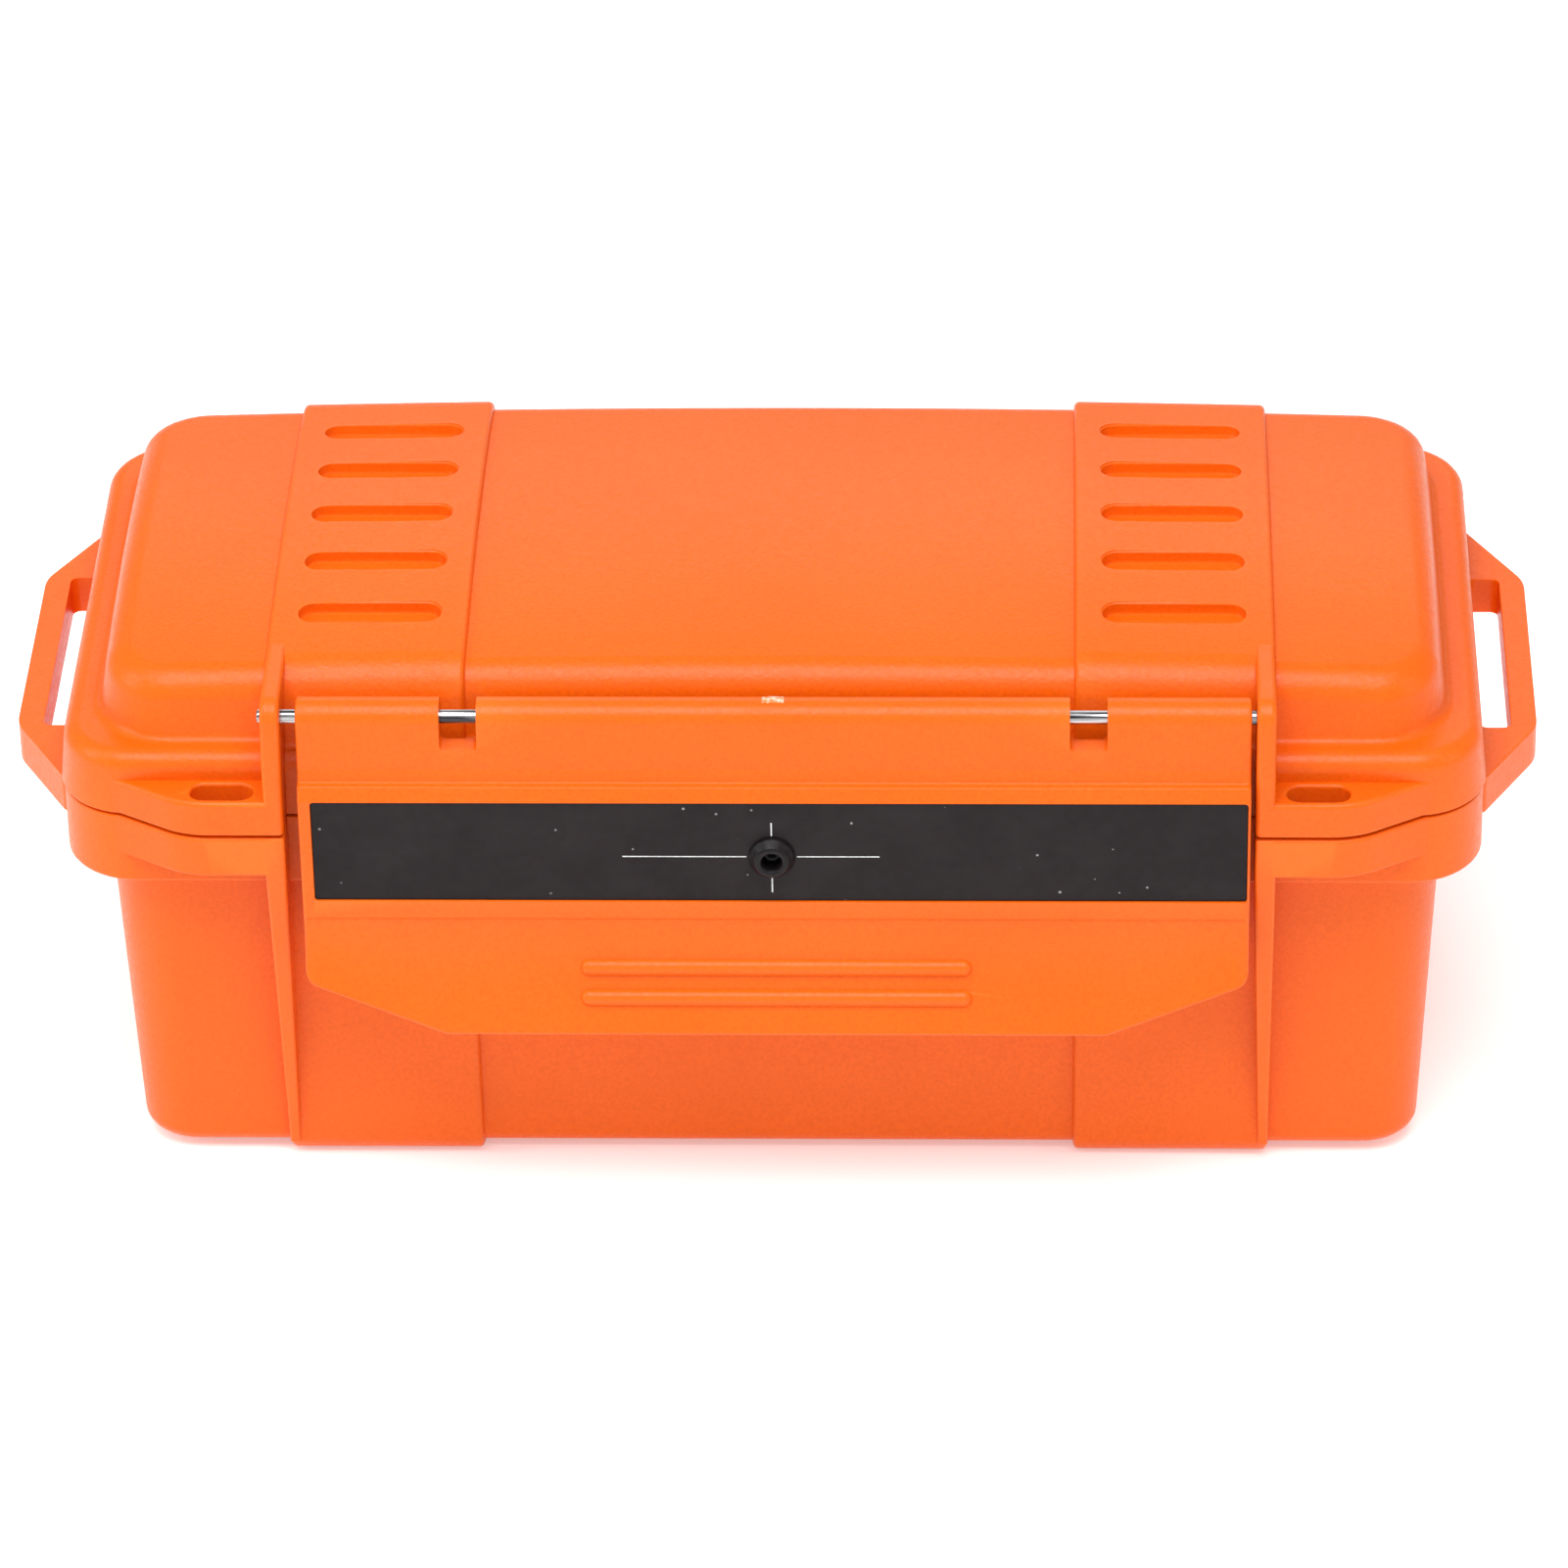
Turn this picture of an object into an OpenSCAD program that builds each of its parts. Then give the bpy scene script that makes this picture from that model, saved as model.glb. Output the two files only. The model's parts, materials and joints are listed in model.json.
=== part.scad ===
// Hard waterproof first aid case. A drafted tub and a domed lid turn on a rear hinge
// pin. A full-width latch turns on a second pin in the lid's front ribs and carries a
// rubber pressure plug. The tub holds a set of dressings. Millimetres, +Z up, front -Y.

/* [Case] */
// Length across the two end handles
case_l = 270; // [266:1:274]
// Length of the sealing rim
rim_l = 249.6; // [248.8:0.4:251.2]
// Depth of the sealing rim, front to back
rim_d = 109.6; // [109:0.2:110.4]
// Height of the parting line above the feet
part_z = 78; // [77:0.5:78]
// Height of the lid's crown, bands left out
crown_z = 105.4; // [105:0.2:106]
// Height of the top of the lid's rim
rim_top_z = 90; // [89:0.5:90.5]
// Length of the tub under the rim
tub_l = 235.6; // [233:0.2:236]
// Depth of the tub under the rim
tub_d = 98.6; // [97:0.2:99]
// Draft of the tub from rim to floor, each side
tub_draft = 2.7; // [2:0.1:3]
// Wall thickness of the mouldings
wall = 2.6; // [2.2:0.1:2.8]
// Gap left at the parting line
part_gap = 0.4; // [0.3:0.05:0.5]

/* [Bands] */
// Distance from the middle of the case to a band's outer edge
band_x = 88; // [87.8:0.1:88.2]
// Width of a band
band_w = 35; // [30:0.1:36]
// How far a band stands proud of the wall
band_t = 1.5; // [1:0.1:2]
// Number of grip slots across each band
slot_n = 5; // [3:1:5]
// Distance between neighbouring grip slots
slot_pitch = 15.6; // [14:0.1:16]
// Length of a grip slot
slot_l = 25; // [20:1:28]
// Width of a grip slot
slot_w = 5.4; // [3:0.1:6]
// Depth of a grip slot
slot_depth = 2.2; // [1:0.1:2.4]

/* [Pins] */
// Radius of both steel pins
pin_r = 1.25; // [1.2:0.05:1.3]
// Radial clearance of a pin in the part that turns on it
turn_gap = 0.05; // [0.03:0.01:0.08]
// Radial clearance of a pin in the part that holds it
hold_gap = 0.02; // [0.01:0.01:0.03]
// Distance from the middle of the case back to the hinge pin
hinge_y = 58.6; // [58.6:0.1:59]
// Outer radius of a hinge knuckle
knuckle_r = 3.4; // [3:0.1:3.4]
// Distance from the middle of the case forward to the latch pin
latch_pin_y = 56.5; // [56:0.1:57]
// Height of the latch pin
latch_pin_z = 99.8; // [99.5:0.1:100]

/* [Latch] */
// Width of the latch between the ribs
latch_w = 165.2; // [161:0.2:165.4]
// Sideways play of the latch, taken up to the right
latch_shift = 0.95; // [0.5:0.05:1.05]
// Outer radius of the latch's barrel
barrel_r = 3.5; // [3:0.1:3.6]
// Width of the label plate
label_w = 162.4; // [150:0.2:162.4]
// Height of the label plate
label_h = 20.2; // [18:0.2:20.4]
// Sideways place of the pressure plug
plug_x = 0.5; // [0:0.1:1]

/* [Handles] */
// Thickness of an end handle
handle_t = 7.2; // [6:0.2:8]
// Length of the webbing slot
web_l = 50; // [40:1:50]
// Width of the webbing slot
web_w = 5.6; // [5:0.1:5.8]

/* [Hidden] */
$fn = 48;

orange = [0.98, 0.42, 0.12];
steel = [0.75, 0.76, 0.78];
black = [0.12, 0.12, 0.13];
white = [0.94, 0.94, 0.92];
foam_grey = [0.25, 0.26, 0.27];

frame_y = 3.7;          // the case's middle plane lies this far behind the origin
floor_z = band_t;       // the tub's floor; the bands below it are the feet
base_top = part_z - part_gap / 2;
lid_low = part_z + part_gap / 2;
skirt_z = 64;           // lower edge of the tub's rim skirt
lug_low = 70;
lug_top = 85.2;
lug_y = 62;             // front of the padlock lugs and of the ribs
rib_t = 3.4;
rib_x = band_x - 3.6;   // inner face of the ribs and lugs, which the latch lies between
rim_r = 13.5;
tub_r = 12;
tub_low_r = 9.5;        // corner radius of the tub at its floor
padlock_at = [95.3, -58];
crown_r = 320;          // radius of the lid's crown, front to back
dome_edge = 5.5;        // rounding between the dome's walls and its crown
dome_wall_z = 98;     // height where that rounding starts
seal_l = 240;           // length and depth of the gasket's centre line
seal_d = 102;
latch_pin_at = [-latch_pin_y, latch_pin_z];
panel_y = 63.5;         // front of the raised band that holds the label
label_x = latch_shift + 0.85;
label_z = 76.2;
label_y = panel_y - 0.9;
notch_x = 54.5;         // the notches that show the latch pin
notch_w = 6.5;
plug_z = 75.2;
vent_y = 58;            // front of the vent boss on the tub's rim
base_knuckles = [[-87, -59], [-14, 14], [59, 87]];
lid_knuckles = [[-58.5, -14.5], [14.5, 58.5]];
packed_z = 6.3;         // top of the floor liner, where the contents stand

// The frame's origin is under the middle of the whole outline, the latch and hinge included.
module framed() translate([0, frame_y, 0]) children();

module rounded(l, d, r) offset(r = r, $fn = 48) square([l - 2 * r, d - 2 * r], center = true);

module slab(z, l, d, r) translate([0, 0, z]) linear_extrude(0.01) rounded(l, d, r);

// Extrudes a front-to-back profile, drawn as [y, z], along the case from x0 to x1.
module along(x0, x1) translate([x0, 0, 0]) rotate([90, 0, 90]) linear_extrude(x1 - x0) children();

module rod(x0, x1, y, z, r) translate([x0, y, z]) rotate([0, 90, 0]) cylinder(r = r, h = x1 - x0);

module both_sides() for (side = [0, 1]) mirror([side, 0, 0]) children();

function arc(centre, r, from, to, step) =
    [for (a = [from:step:to]) centre + r * [cos(a), sin(a)]];

// A closed drafted tub shape with a rounded bottom edge, inset from the outer walls.
module tub_form(inset, low, high, edge) hull() {
    slab(high, tub_l - 2 * inset, tub_d - 2 * inset, tub_r - inset);
    for (a = [0:22.5:90]) {
        inward = 2 * (inset + tub_draft + edge * (1 - cos(a)));
        slab(low + edge * (1 - sin(a)), tub_l - inward, tub_d - inward,
             tub_low_r - inset - 0.3 * edge * (1 - cos(a)));
    }
}

module lug_outline() both_sides()
    polygon([[rib_x, -52], [rib_x, -lug_y], [97.7, -lug_y], [101.7, -lug_y + 0.5],
             [105.5, -lug_y + 2.1], [118, -52.3], [108, -44]]);

module padlock_slot() both_sides()
    translate([padlock_at[0], padlock_at[1], 60]) linear_extrude(40) rounded(11, 5, 2.49);

module handle_outline() difference() {
    offset(r = 9) offset(delta = -9) polygon([[114, -44], [125, -42], [case_l / 2, -24.5],
                                              [case_l / 2, 24.5], [125, 42], [114, 44]]);
    translate([rim_l / 2 + web_w / 2, 0]) rounded(web_w, web_l, 1.5);
}

module base_band() along(band_x - band_w, band_x) offset(r = 3) offset(delta = -3)
    polygon([[-tub_d / 2 + tub_draft - band_t, 0], [tub_d / 2 - tub_draft + band_t, 0],
             [tub_d / 2 + band_t, 70], [-tub_d / 2 - band_t, 70]]);

// A rib thins towards the floor: its outer face is upright and its inner face leans outwards.
module base_rib() intersection() {
    along(rib_x, band_x)
        polygon([[-47.5, base_top], [-lug_y, base_top], [-lug_y, lug_low], [-49.4, 3], [-45.5, 3]]);
    rotate([90, 0, 0]) linear_extrude(70)
        polygon([[rib_x, part_z], [rib_x, lug_low], [band_x - 1.7, 0], [band_x, 0], [band_x, part_z]]);
}

module base_shell() color(orange) framed() difference() {
    union() {
        tub_form(0, floor_z, base_top - 0.01, 3.5);
        translate([0, 0, skirt_z]) linear_extrude(base_top - skirt_z) rounded(rim_l, rim_d, rim_r);
        translate([0, 0, lug_low]) linear_extrude(base_top - lug_low) lug_outline();
        both_sides() base_band();
        both_sides() base_rib();
        both_sides() translate([0, 0, base_top - handle_t]) linear_extrude(handle_t) handle_outline();
        base_hinge();
        catch();
        seal_tongue();
    }
    tub_form(wall, floor_z + wall, base_top + 0.01, 2);
    translate([0, 0, base_top - 1]) linear_extrude(2.5)
        rounded(tub_l - 2 * wall, tub_d - 2 * wall, tub_r - wall);
    padlock_slot();
    rod(-90, 90, hinge_y, part_z, pin_r + hold_gap);
    translate([plug_x, -45, plug_z]) rotate([90, 0, 0]) cylinder(r = 0.8, h = 20, $fn = 24);
}

module base_hinge() for (k = base_knuckles) {
    rod(k[0], k[1], hinge_y, part_z, knuckle_r);
    along(k[0], k[1]) polygon([[52, 66], [61.3, 75.8], [61.3, 77], [hinge_y, 77.2], [52, 77.2]]);
}

// The lip that the latch's hook closes against, and the boss that the plug seals.
module catch() {
    along(-76, 76) polygon([[-53, 64.5], [-55.5, 64.5], [-58.4, 66.5], [-58.4, 69.5], [-53, 71.5]]);
    translate([plug_x, -50, plug_z]) rotate([90, 0, 0]) cylinder(r = 2.55, h = vent_y - 50);
    translate([plug_x - 2, -vent_y + 0.4, 69]) cube([4, 5, 5]);
}

// The ridge on the tub's rim that presses into the lid's gasket.
module seal_tongue() translate([0, 0, base_top - 0.5]) linear_extrude(1.5) difference() {
    rounded(seal_l + 1.4, seal_d + 1.4, 12.7);
    rounded(seal_l - 1.4, seal_d - 1.4, 11.3);
}

module hinge_pin() color(steel) framed() rod(-86.6, 86.6, hinge_y, part_z, pin_r);

module base_liner() color(foam_grey) framed()
    translate([0, 0, floor_z + wall + 0.1]) linear_extrude(2) rounded(218, 82, 8);

module crown_rod(r) rod(-rim_l / 2, rim_l / 2, 0, crown_z - crown_r, r);

module lid_dome() intersection() {
    hull() {
        slab(rim_top_z - 2, tub_l + 0.4, tub_d - 1.2, tub_r);
        for (a = [0:15:90]) {
            inward = 2 * dome_edge * (1 - cos(a));
            slab(dome_wall_z + dome_edge * sin(a), tub_l - 1.6 - inward, tub_d - 3.4 - inward,
                 tub_r - inward / 2);
        }
    }
    crown_rod(crown_r, $fn = 240);
}

module lid_band() along(band_x - band_w, band_x)
    offset(r = dome_edge) offset(delta = -dome_edge) intersection() {
        translate([0, crown_z - crown_r]) circle(r = crown_r + band_t, $fn = 360);
        polygon([[-50.2, 79], [50.2, 79], [48.7, 110], [-48.7, 110]]);
    }

module lid_rib() along(rib_x, rib_x + rib_t)
    polygon(concat([[-46, lid_low], [-39, 104.4]], arc(latch_pin_at, 4.2, 90, 180, 15),
                   [[-lug_y, 93], [-lug_y, lid_low]]));

module grip_slots() for (i = [0:slot_n - 1]) {
    y = (i - (slot_n - 1) / 2) * slot_pitch;
    tilt = asin(y / (crown_r + band_t));
    translate([band_x - band_w / 2, 0, crown_z - crown_r]) rotate([-tilt, 0, 0])
        translate([0, 0, crown_r + band_t - slot_depth])
            linear_extrude(5) rounded(slot_l, slot_w, slot_w / 2 - 0.01);
}

module lid_hinge() for (k = lid_knuckles) {
    rod(k[0], k[1], hinge_y, part_z, knuckle_r);
    along(k[0], k[1])
        polygon([[53, 78.8], [hinge_y, 78.8], [61.3, 79.4], [61.3, 80.2], [55.5, 86.5], [53, 86.5]]);
}

module lid_shell() color(orange) framed() difference() {
    union() {
        hull() {
            slab(lid_low, rim_l + 0.8, rim_d, rim_r);
            slab(rim_top_z - 0.01, rim_l - 0.8, rim_d - 0.6, rim_r - 0.6);
        }
        translate([0, 0, lid_low]) linear_extrude(lug_top - lid_low) lug_outline();
        lid_dome();
        both_sides() lid_band();
        both_sides() lid_rib();
        lid_hinge();
    }
    hull() {
        slab(lid_low - 1, tub_l - 2 * wall, tub_d - 2 * wall, tub_r - wall);
        slab(95, tub_l - 2 * wall - 2, tub_d - 2 * wall - 2, tub_r - wall);
        slab(100, tub_l - 2 * wall - 12, tub_d - 2 * wall - 12, tub_r - wall - 2);
    }
    translate([0, 0, lid_low - 1]) linear_extrude(4) difference() {
        rounded(seal_l + 3.4, seal_d + 3.4, 13.7);
        rounded(seal_l - 3.4, seal_d - 3.4, 10.3);
    }
    both_sides() grip_slots();
    padlock_slot();
    rod(-90, 90, hinge_y, part_z, pin_r + turn_gap);
    rod(-90, 90, -latch_pin_y, latch_pin_z, pin_r + hold_gap);
}

module latch_pin() color(steel) framed() rod(-88.5, 87.6, -latch_pin_y, latch_pin_z, pin_r);

module lid_gasket() color(black) framed() translate([0, 0, 79.05]) linear_extrude(2) difference() {
    rounded(seal_l + 3, seal_d + 3, 13.5);
    rounded(seal_l - 3, seal_d - 3, 10.5);
}

module lid_pad() color(foam_grey) framed() translate([0, 0, 92.4]) linear_extrude(7.5)
    rounded(214, 78, 8);

// The latch's section: barrel, raised label band, hook and hollow-curved finger edge.
latch_profile = concat(
    arc(latch_pin_at, barrel_r, -45, 180, 15),
    [[-60.4, 95.5], [-61.4, 89.3], [-62.5, 89], [-panel_y, 86.4]],
    [for (z = [62:-4:42]) [-panel_y - 5.6 * pow((62 - z) / 19.6, 1.8), z]],
    [[-68.9, 41.2], [-66.9, 41.6], [-64.4, 47.5], [-62.4, 54], [-61.2, 60.8], [-58.9, 61.8],
     [-58.9, 65], [-60.2, 66], [-60.2, 86], [-58.6, 91], [-56.6, 95.4]]);

// The latch's outline from the front, with its lower corners cut away.
module latch_front() both_sides()
    polygon([[-0.01, 110], [-0.01, 41], [57.9, 41], [latch_w / 2 - 1.6, 48.8],
             [latch_w / 2, 51], [latch_w / 2, 110]]);

module grip_bar(z, y) {
    rod(-33, 33, -y, z, 1.6);
    for (x = [-33, 33]) translate([x, -y, z]) sphere(r = 1.6, $fn = 24);
}

module latch_panel() color(orange) framed() translate([latch_shift, 0, 0]) difference() {
    union() {
        intersection() {
            along(-latch_w / 2, latch_w / 2) polygon(latch_profile);
            translate([0, -40, 0]) rotate([90, 0, 0]) linear_extrude(40) latch_front();
        }
        grip_bar(52.8, 64.3);
        grip_bar(47.6, 66.1);
    }
    both_sides() translate([notch_x - notch_w / 2, -64, 95.2]) cube([notch_w, 14, 12]);
    rod(-90, 90, -latch_pin_y, latch_pin_z, pin_r + turn_gap);
    translate([label_x - latch_shift - label_w / 2 - 0.1, -panel_y - 5, label_z - label_h / 2 - 0.15])
        cube([label_w + 0.2, 5.9, label_h + 0.3]);
    translate([plug_x - latch_shift, -50, plug_z]) rotate([90, 0, 0]) cylinder(r = 3, h = 20);
    translate([plug_x - latch_shift - 5, -60.3, plug_z - 5]) cube([10, 5, 10]);
}

module latch_label() color(black) framed() difference() {
    translate([label_x - label_w / 2, -label_y - 0.5, label_z - label_h / 2])
        cube([label_w, 0.5, label_h]);
    translate([plug_x, -50, plug_z]) rotate([90, 0, 0]) cylinder(r = 3.1, h = 20);
}

// A ring or disc on the plug's axis, from the depth y0 to the depth y1 nearer the front.
module on_plug(y0, y1, r) translate([plug_x, -y0, plug_z]) rotate([90, 0, 0])
    cylinder(r = r, h = y1 - y0);

module valve_bezel() color(black) framed() difference() {
    union() {
        on_plug(label_y + 0.55, label_y + 1.6, 4.05);
        on_plug(label_y + 1.5, label_y + 2.4, 3.1);
        on_plug(59, label_y + 0.6, 2.9);
    }
    on_plug(58, 70, 1.65);
}

module valve_plug() color([0.2, 0.2, 0.21]) framed() difference() {
    union() {
        on_plug(58.3, 58.95, 2.4);
        on_plug(58.9, 62.4, 1.6);
    }
    on_plug(61.2, 70, 0.8);
}

module valve_nut() color(steel) framed() difference() {
    on_plug(59.05, 60.15, 4.6, $fn = 6);
    on_plug(58, 61, 2.95);
}

module roll(x, y0, y1, r) translate([x, y1, packed_z + r]) rotate([90, 0, 0])
    cylinder(r = r, h = y1 - y0);

module pack(x0, x1, y0, y1, z0, z1, r)
    translate([(x0 + x1) / 2, (y0 + y1) / 2, z0]) linear_extrude(z1 - z0) rounded(x1 - x0, y1 - y0, r);

module elastic_bandage() color([0.86, 0.72, 0.55]) framed() roll(-88.5, -38, 38, 20);

module gauze_roll_lower() color(white) framed() roll(-55, -37, 37, 12);

module gauze_roll_upper() color(white) framed() translate([0, 0, 24.3]) roll(-55, -37, 37, 12);

module dressing_pack() color(white) framed() pack(-41, 21, -40, 40, packed_z, 26, 3);

module plaster_box() color([0.35, 0.6, 0.45]) framed() pack(-40, 20, -39, -2, 26.2, 50, 0.8);

module wipe_sachets() color([0.8, 0.88, 0.93]) framed() pack(-38, 18, 2, 39, 26.2, 42, 2);

module foil_blanket() color([0.8, 0.78, 0.6]) framed() pack(24, 106, -41, -3, packed_z, 30, 5);

module triangular_bandage() color([0.93, 0.9, 0.82]) framed() pack(24, 106, 1, 41, packed_z, 30, 5);

module tape_roll() color(white) framed() translate([54, -14, 30.3]) difference() {
    cylinder(r = 26, h = 12.5);
    translate([0, 0, -1]) cylinder(r = 15.05, h = 20);
}

module tape_spool() color([0.9, 0.9, 0.88]) framed() translate([54, -14, 30.2]) difference() {
    union() {
        cylinder(r = 15, h = 12.7);
        translate([0, 0, 12.65]) cylinder(r = 26, h = 1);
    }
    translate([0, 0, -1]) cylinder(r = 13.6, h = 20);
}

// Two flat spring arms joined at the tail, points just apart.
module tweezers() color(steel) framed() translate([26, 30, 30.3]) linear_extrude(6) union() {
    polygon([[0, -0.5], [14, -1.6], [50, -4.6], [80, -1.1], [80, -0.4], [50, -3.5], [14, -0.6], [4, 0.2],
             [14, 0.9], [50, 3.8], [80, 0.6], [80, 1.3], [50, 4.9], [14, 1.9], [0, 0.8]]);
}

base_shell();
hinge_pin();
base_liner();
lid_shell();
latch_pin();
lid_gasket();
lid_pad();
latch_panel();
latch_label();
valve_bezel();
valve_plug();
valve_nut();
elastic_bandage();
gauze_roll_lower();
gauze_roll_upper();
dressing_pack();
plaster_box();
wipe_sachets();
foil_blanket();
triangular_bandage();
tape_roll();
tape_spool();
tweezers();
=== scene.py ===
"""Looks for the hard waterproof first aid case: shells, latch, pins, seals and contents.

Lengths are millimetres in the case's own frame (x right, y back from the case's middle plane,
z up from the feet) until mesh_object() puts them into the shared frame in metres.
"""
import cmath
import json
import math
from contextlib import contextmanager

import bmesh
import bpy
import numpy as np
from mathutils import Matrix, Vector, noise


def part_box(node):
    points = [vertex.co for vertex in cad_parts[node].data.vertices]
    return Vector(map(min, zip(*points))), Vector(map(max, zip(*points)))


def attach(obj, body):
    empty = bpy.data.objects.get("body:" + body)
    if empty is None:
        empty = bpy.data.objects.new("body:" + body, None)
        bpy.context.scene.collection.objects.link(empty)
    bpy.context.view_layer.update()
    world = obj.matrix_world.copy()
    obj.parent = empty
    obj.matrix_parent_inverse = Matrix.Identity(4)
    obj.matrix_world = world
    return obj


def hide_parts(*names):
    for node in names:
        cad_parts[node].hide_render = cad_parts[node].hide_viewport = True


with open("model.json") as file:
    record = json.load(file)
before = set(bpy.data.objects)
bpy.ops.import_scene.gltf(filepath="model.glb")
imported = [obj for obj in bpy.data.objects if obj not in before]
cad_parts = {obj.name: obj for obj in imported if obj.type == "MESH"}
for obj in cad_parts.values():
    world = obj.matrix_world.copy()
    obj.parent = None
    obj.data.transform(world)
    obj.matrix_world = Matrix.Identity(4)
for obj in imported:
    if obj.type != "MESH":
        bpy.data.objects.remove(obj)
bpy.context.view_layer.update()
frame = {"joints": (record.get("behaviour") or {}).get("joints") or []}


# ---------------------------------------------------------------- sizes from the frame
def node_box(name):
    """A CAD node's box in millimetres, as two numpy corners in the case's own frame."""
    low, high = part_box(name)
    shift = np.array([0, MID_Y, 0])
    return np.array(low) * 1000 - shift, np.array(high) * 1000 - shift


def middle(name):
    return sum(node_box(name)) / 2


def half_size(name):
    low, high = node_box(name)
    return (high - low) / 2


def joint_at(name):
    joint = next(j for j in frame["joints"] if j["name"] == name)
    return np.array(joint["pos_m"]) * 1000 - np.array([0, MID_Y, 0])


MID_Y = 0.0
MID_Y = sum(node_box("lid_gasket"))[1] / 2
GASKET_LOW, GASKET_HIGH = node_box("lid_gasket")
HINGE = joint_at("lid_hinge")
LATCH_AXIS = joint_at("latch_hinge")
PIN_R = half_size("latch_pin")[2]
PART_Z = HINGE[2]                      # parting line between tub and lid
RIM_X = node_box("lid_shell")[1][0]    # half length of the sealing rim
HANDLE_X = node_box("base_shell")[1][0]
LUG_Y = -node_box("lid_shell")[0][1]   # front face of the lugs and ribs
SEAL_HALF = 1.5                        # half width of the gasket
SEAL_X = GASKET_HIGH[0] - SEAL_HALF    # half length and depth of the gasket's middle line
SEAL_Y = GASKET_HIGH[1] - SEAL_HALF
SEAL_R = 12.0
RIM_Y = SEAL_Y + 3.8                   # half depth of the sealing rim
BASE_RIM_X = RIM_X - 0.4
TUB_X = SEAL_X - 2.2                   # half length and depth of the tub and the dome
TUB_Y = RIM_Y - 5.5
LATCH_LOW = node_box("latch_panel")[0]
LATCH_X = middle("latch_panel")[0]
LATCH_HALF = half_size("latch_panel")[0]
LABEL_LOW, LABEL_HIGH = node_box("latch_label")
PLUG = middle("valve_bezel")           # a point on the pressure plug's axis, which runs along y

GAP = 0.2          # half of the gap at the parting line
WALL = 2.6
TURN_GAP, HOLD_GAP = 0.06, 0.04        # clearance of a pin where it turns and where it is held
RIM_R = 13.5
TUB_R, TUB_LOW_R = 12.0, 9.5
BAND_IN, BAND_OUT = 53.0, 88.0
BAND_T = 1.5
SEAL = (SEAL_X, SEAL_Y, SEAL_R)                           # half length, half depth, corner radius
INSIDE = (TUB_X - WALL, TUB_Y - WALL, TUB_R - WALL)       # the same for the shells' inside
RIB_X = 84.4         # inner face of the ribs and lugs
RIB_T = 3.4
RIM_TOP = PART_Z + 12
CROWN_Z = PART_Z + 28.1
CROWN_RY, CROWN_RX = 320.0, 3430.0     # radii of the lid's crown across and along the case
LUG_LOW, LUG_TOP = PART_Z - 8, PART_Z + 7.2
PADLOCK_X = 95.3
SLOT_COUNT, SLOT_PITCH = 5, 15.6       # grip slots across a band
SKIRT_Z = PART_Z - 14
DRAFT = 2.7
KNUCKLE_R = 3.4


# ---------------------------------------------------------------- mesh tools
def link(name, data):
    """A new object for the data, in the scene."""
    obj = bpy.data.objects.new(name, data)
    bpy.context.scene.collection.objects.link(obj)
    return obj


def mesh_object(name, verts, faces, weld=1e-6):
    """A clean mesh object from millimetre points in the case's own frame."""
    mesh = bpy.data.meshes.new(name)
    points = (np.array(verts, dtype=float) + [0, MID_Y, 0]) / 1000
    mesh.from_pydata(points.tolist(), [], faces)
    mesh.validate()
    obj = link(name, mesh)
    with editing(obj) as bm:
        bmesh.ops.remove_doubles(bm, verts=bm.verts, dist=weld)
        bmesh.ops.dissolve_degenerate(bm, edges=bm.edges, dist=weld)
        bmesh.ops.delete(bm, geom=[e for e in bm.edges if not e.link_faces], context="EDGES")
        bmesh.ops.delete(bm, geom=[v for v in bm.verts if not v.link_faces], context="VERTS")
        bmesh.ops.recalc_face_normals(bm, faces=bm.faces)
    return obj


@contextmanager
def editing(obj):
    """The object's mesh as a bmesh, which is written back afterwards."""
    bm = bmesh.new()
    bm.from_mesh(obj.data)
    yield bm
    bm.to_mesh(obj.data)
    bm.free()


def soften(obj, angle):
    """Smooth shading that stays crisp at real edges."""
    for poly in obj.data.polygons:
        poly.use_smooth = True
    obj.data.set_sharp_from_angle(angle=math.radians(angle))
    modifier = obj.modifiers.new("even_shading", "WEIGHTED_NORMAL")
    modifier.keep_sharp = True
    modifier.weight = 80


def round_edges(obj, width, segments=3):
    """Rounds every edge of a simple operand that is sharper than 25 degrees."""
    limit = math.radians(25)
    with editing(obj) as bm:
        sharp = [e for e in bm.edges if len(e.link_faces) == 2 and e.calc_face_angle() > limit]
        bmesh.ops.bevel(bm, geom=sharp, offset=width / 1000, segments=segments, profile=0.5,
                        affect="EDGES", clamp_overlap=True, miter_outer="ARC")
        bmesh.ops.recalc_face_normals(bm, faces=bm.faces)
    return obj


def combine(target, tool, operation):
    """Joins or cuts the target with the tool, which is used up."""
    modifier = target.modifiers.new(operation, "BOOLEAN")
    modifier.operation = operation
    modifier.solver = "MANIFOLD"
    modifier.object = tool
    bpy.context.view_layer.update()
    evaluated = target.evaluated_get(bpy.context.evaluated_depsgraph_get())
    result = bpy.data.meshes.new_from_object(evaluated)
    target.modifiers.remove(modifier)
    old = target.data
    target.data = result
    bpy.data.meshes.remove(old)
    bpy.data.objects.remove(tool)


def add(target, *tools):
    for tool in tools:
        combine(target, tool, "UNION")
    return target


def cut(target, *tools):
    for tool in tools:
        combine(target, tool, "DIFFERENCE")
    return target


def merge_flats(obj):
    """Joins the coplanar faces that a cut leaves."""
    with editing(obj) as bm:
        bmesh.ops.dissolve_limit(bm, angle_limit=math.radians(0.5), verts=bm.verts, edges=bm.edges)


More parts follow.
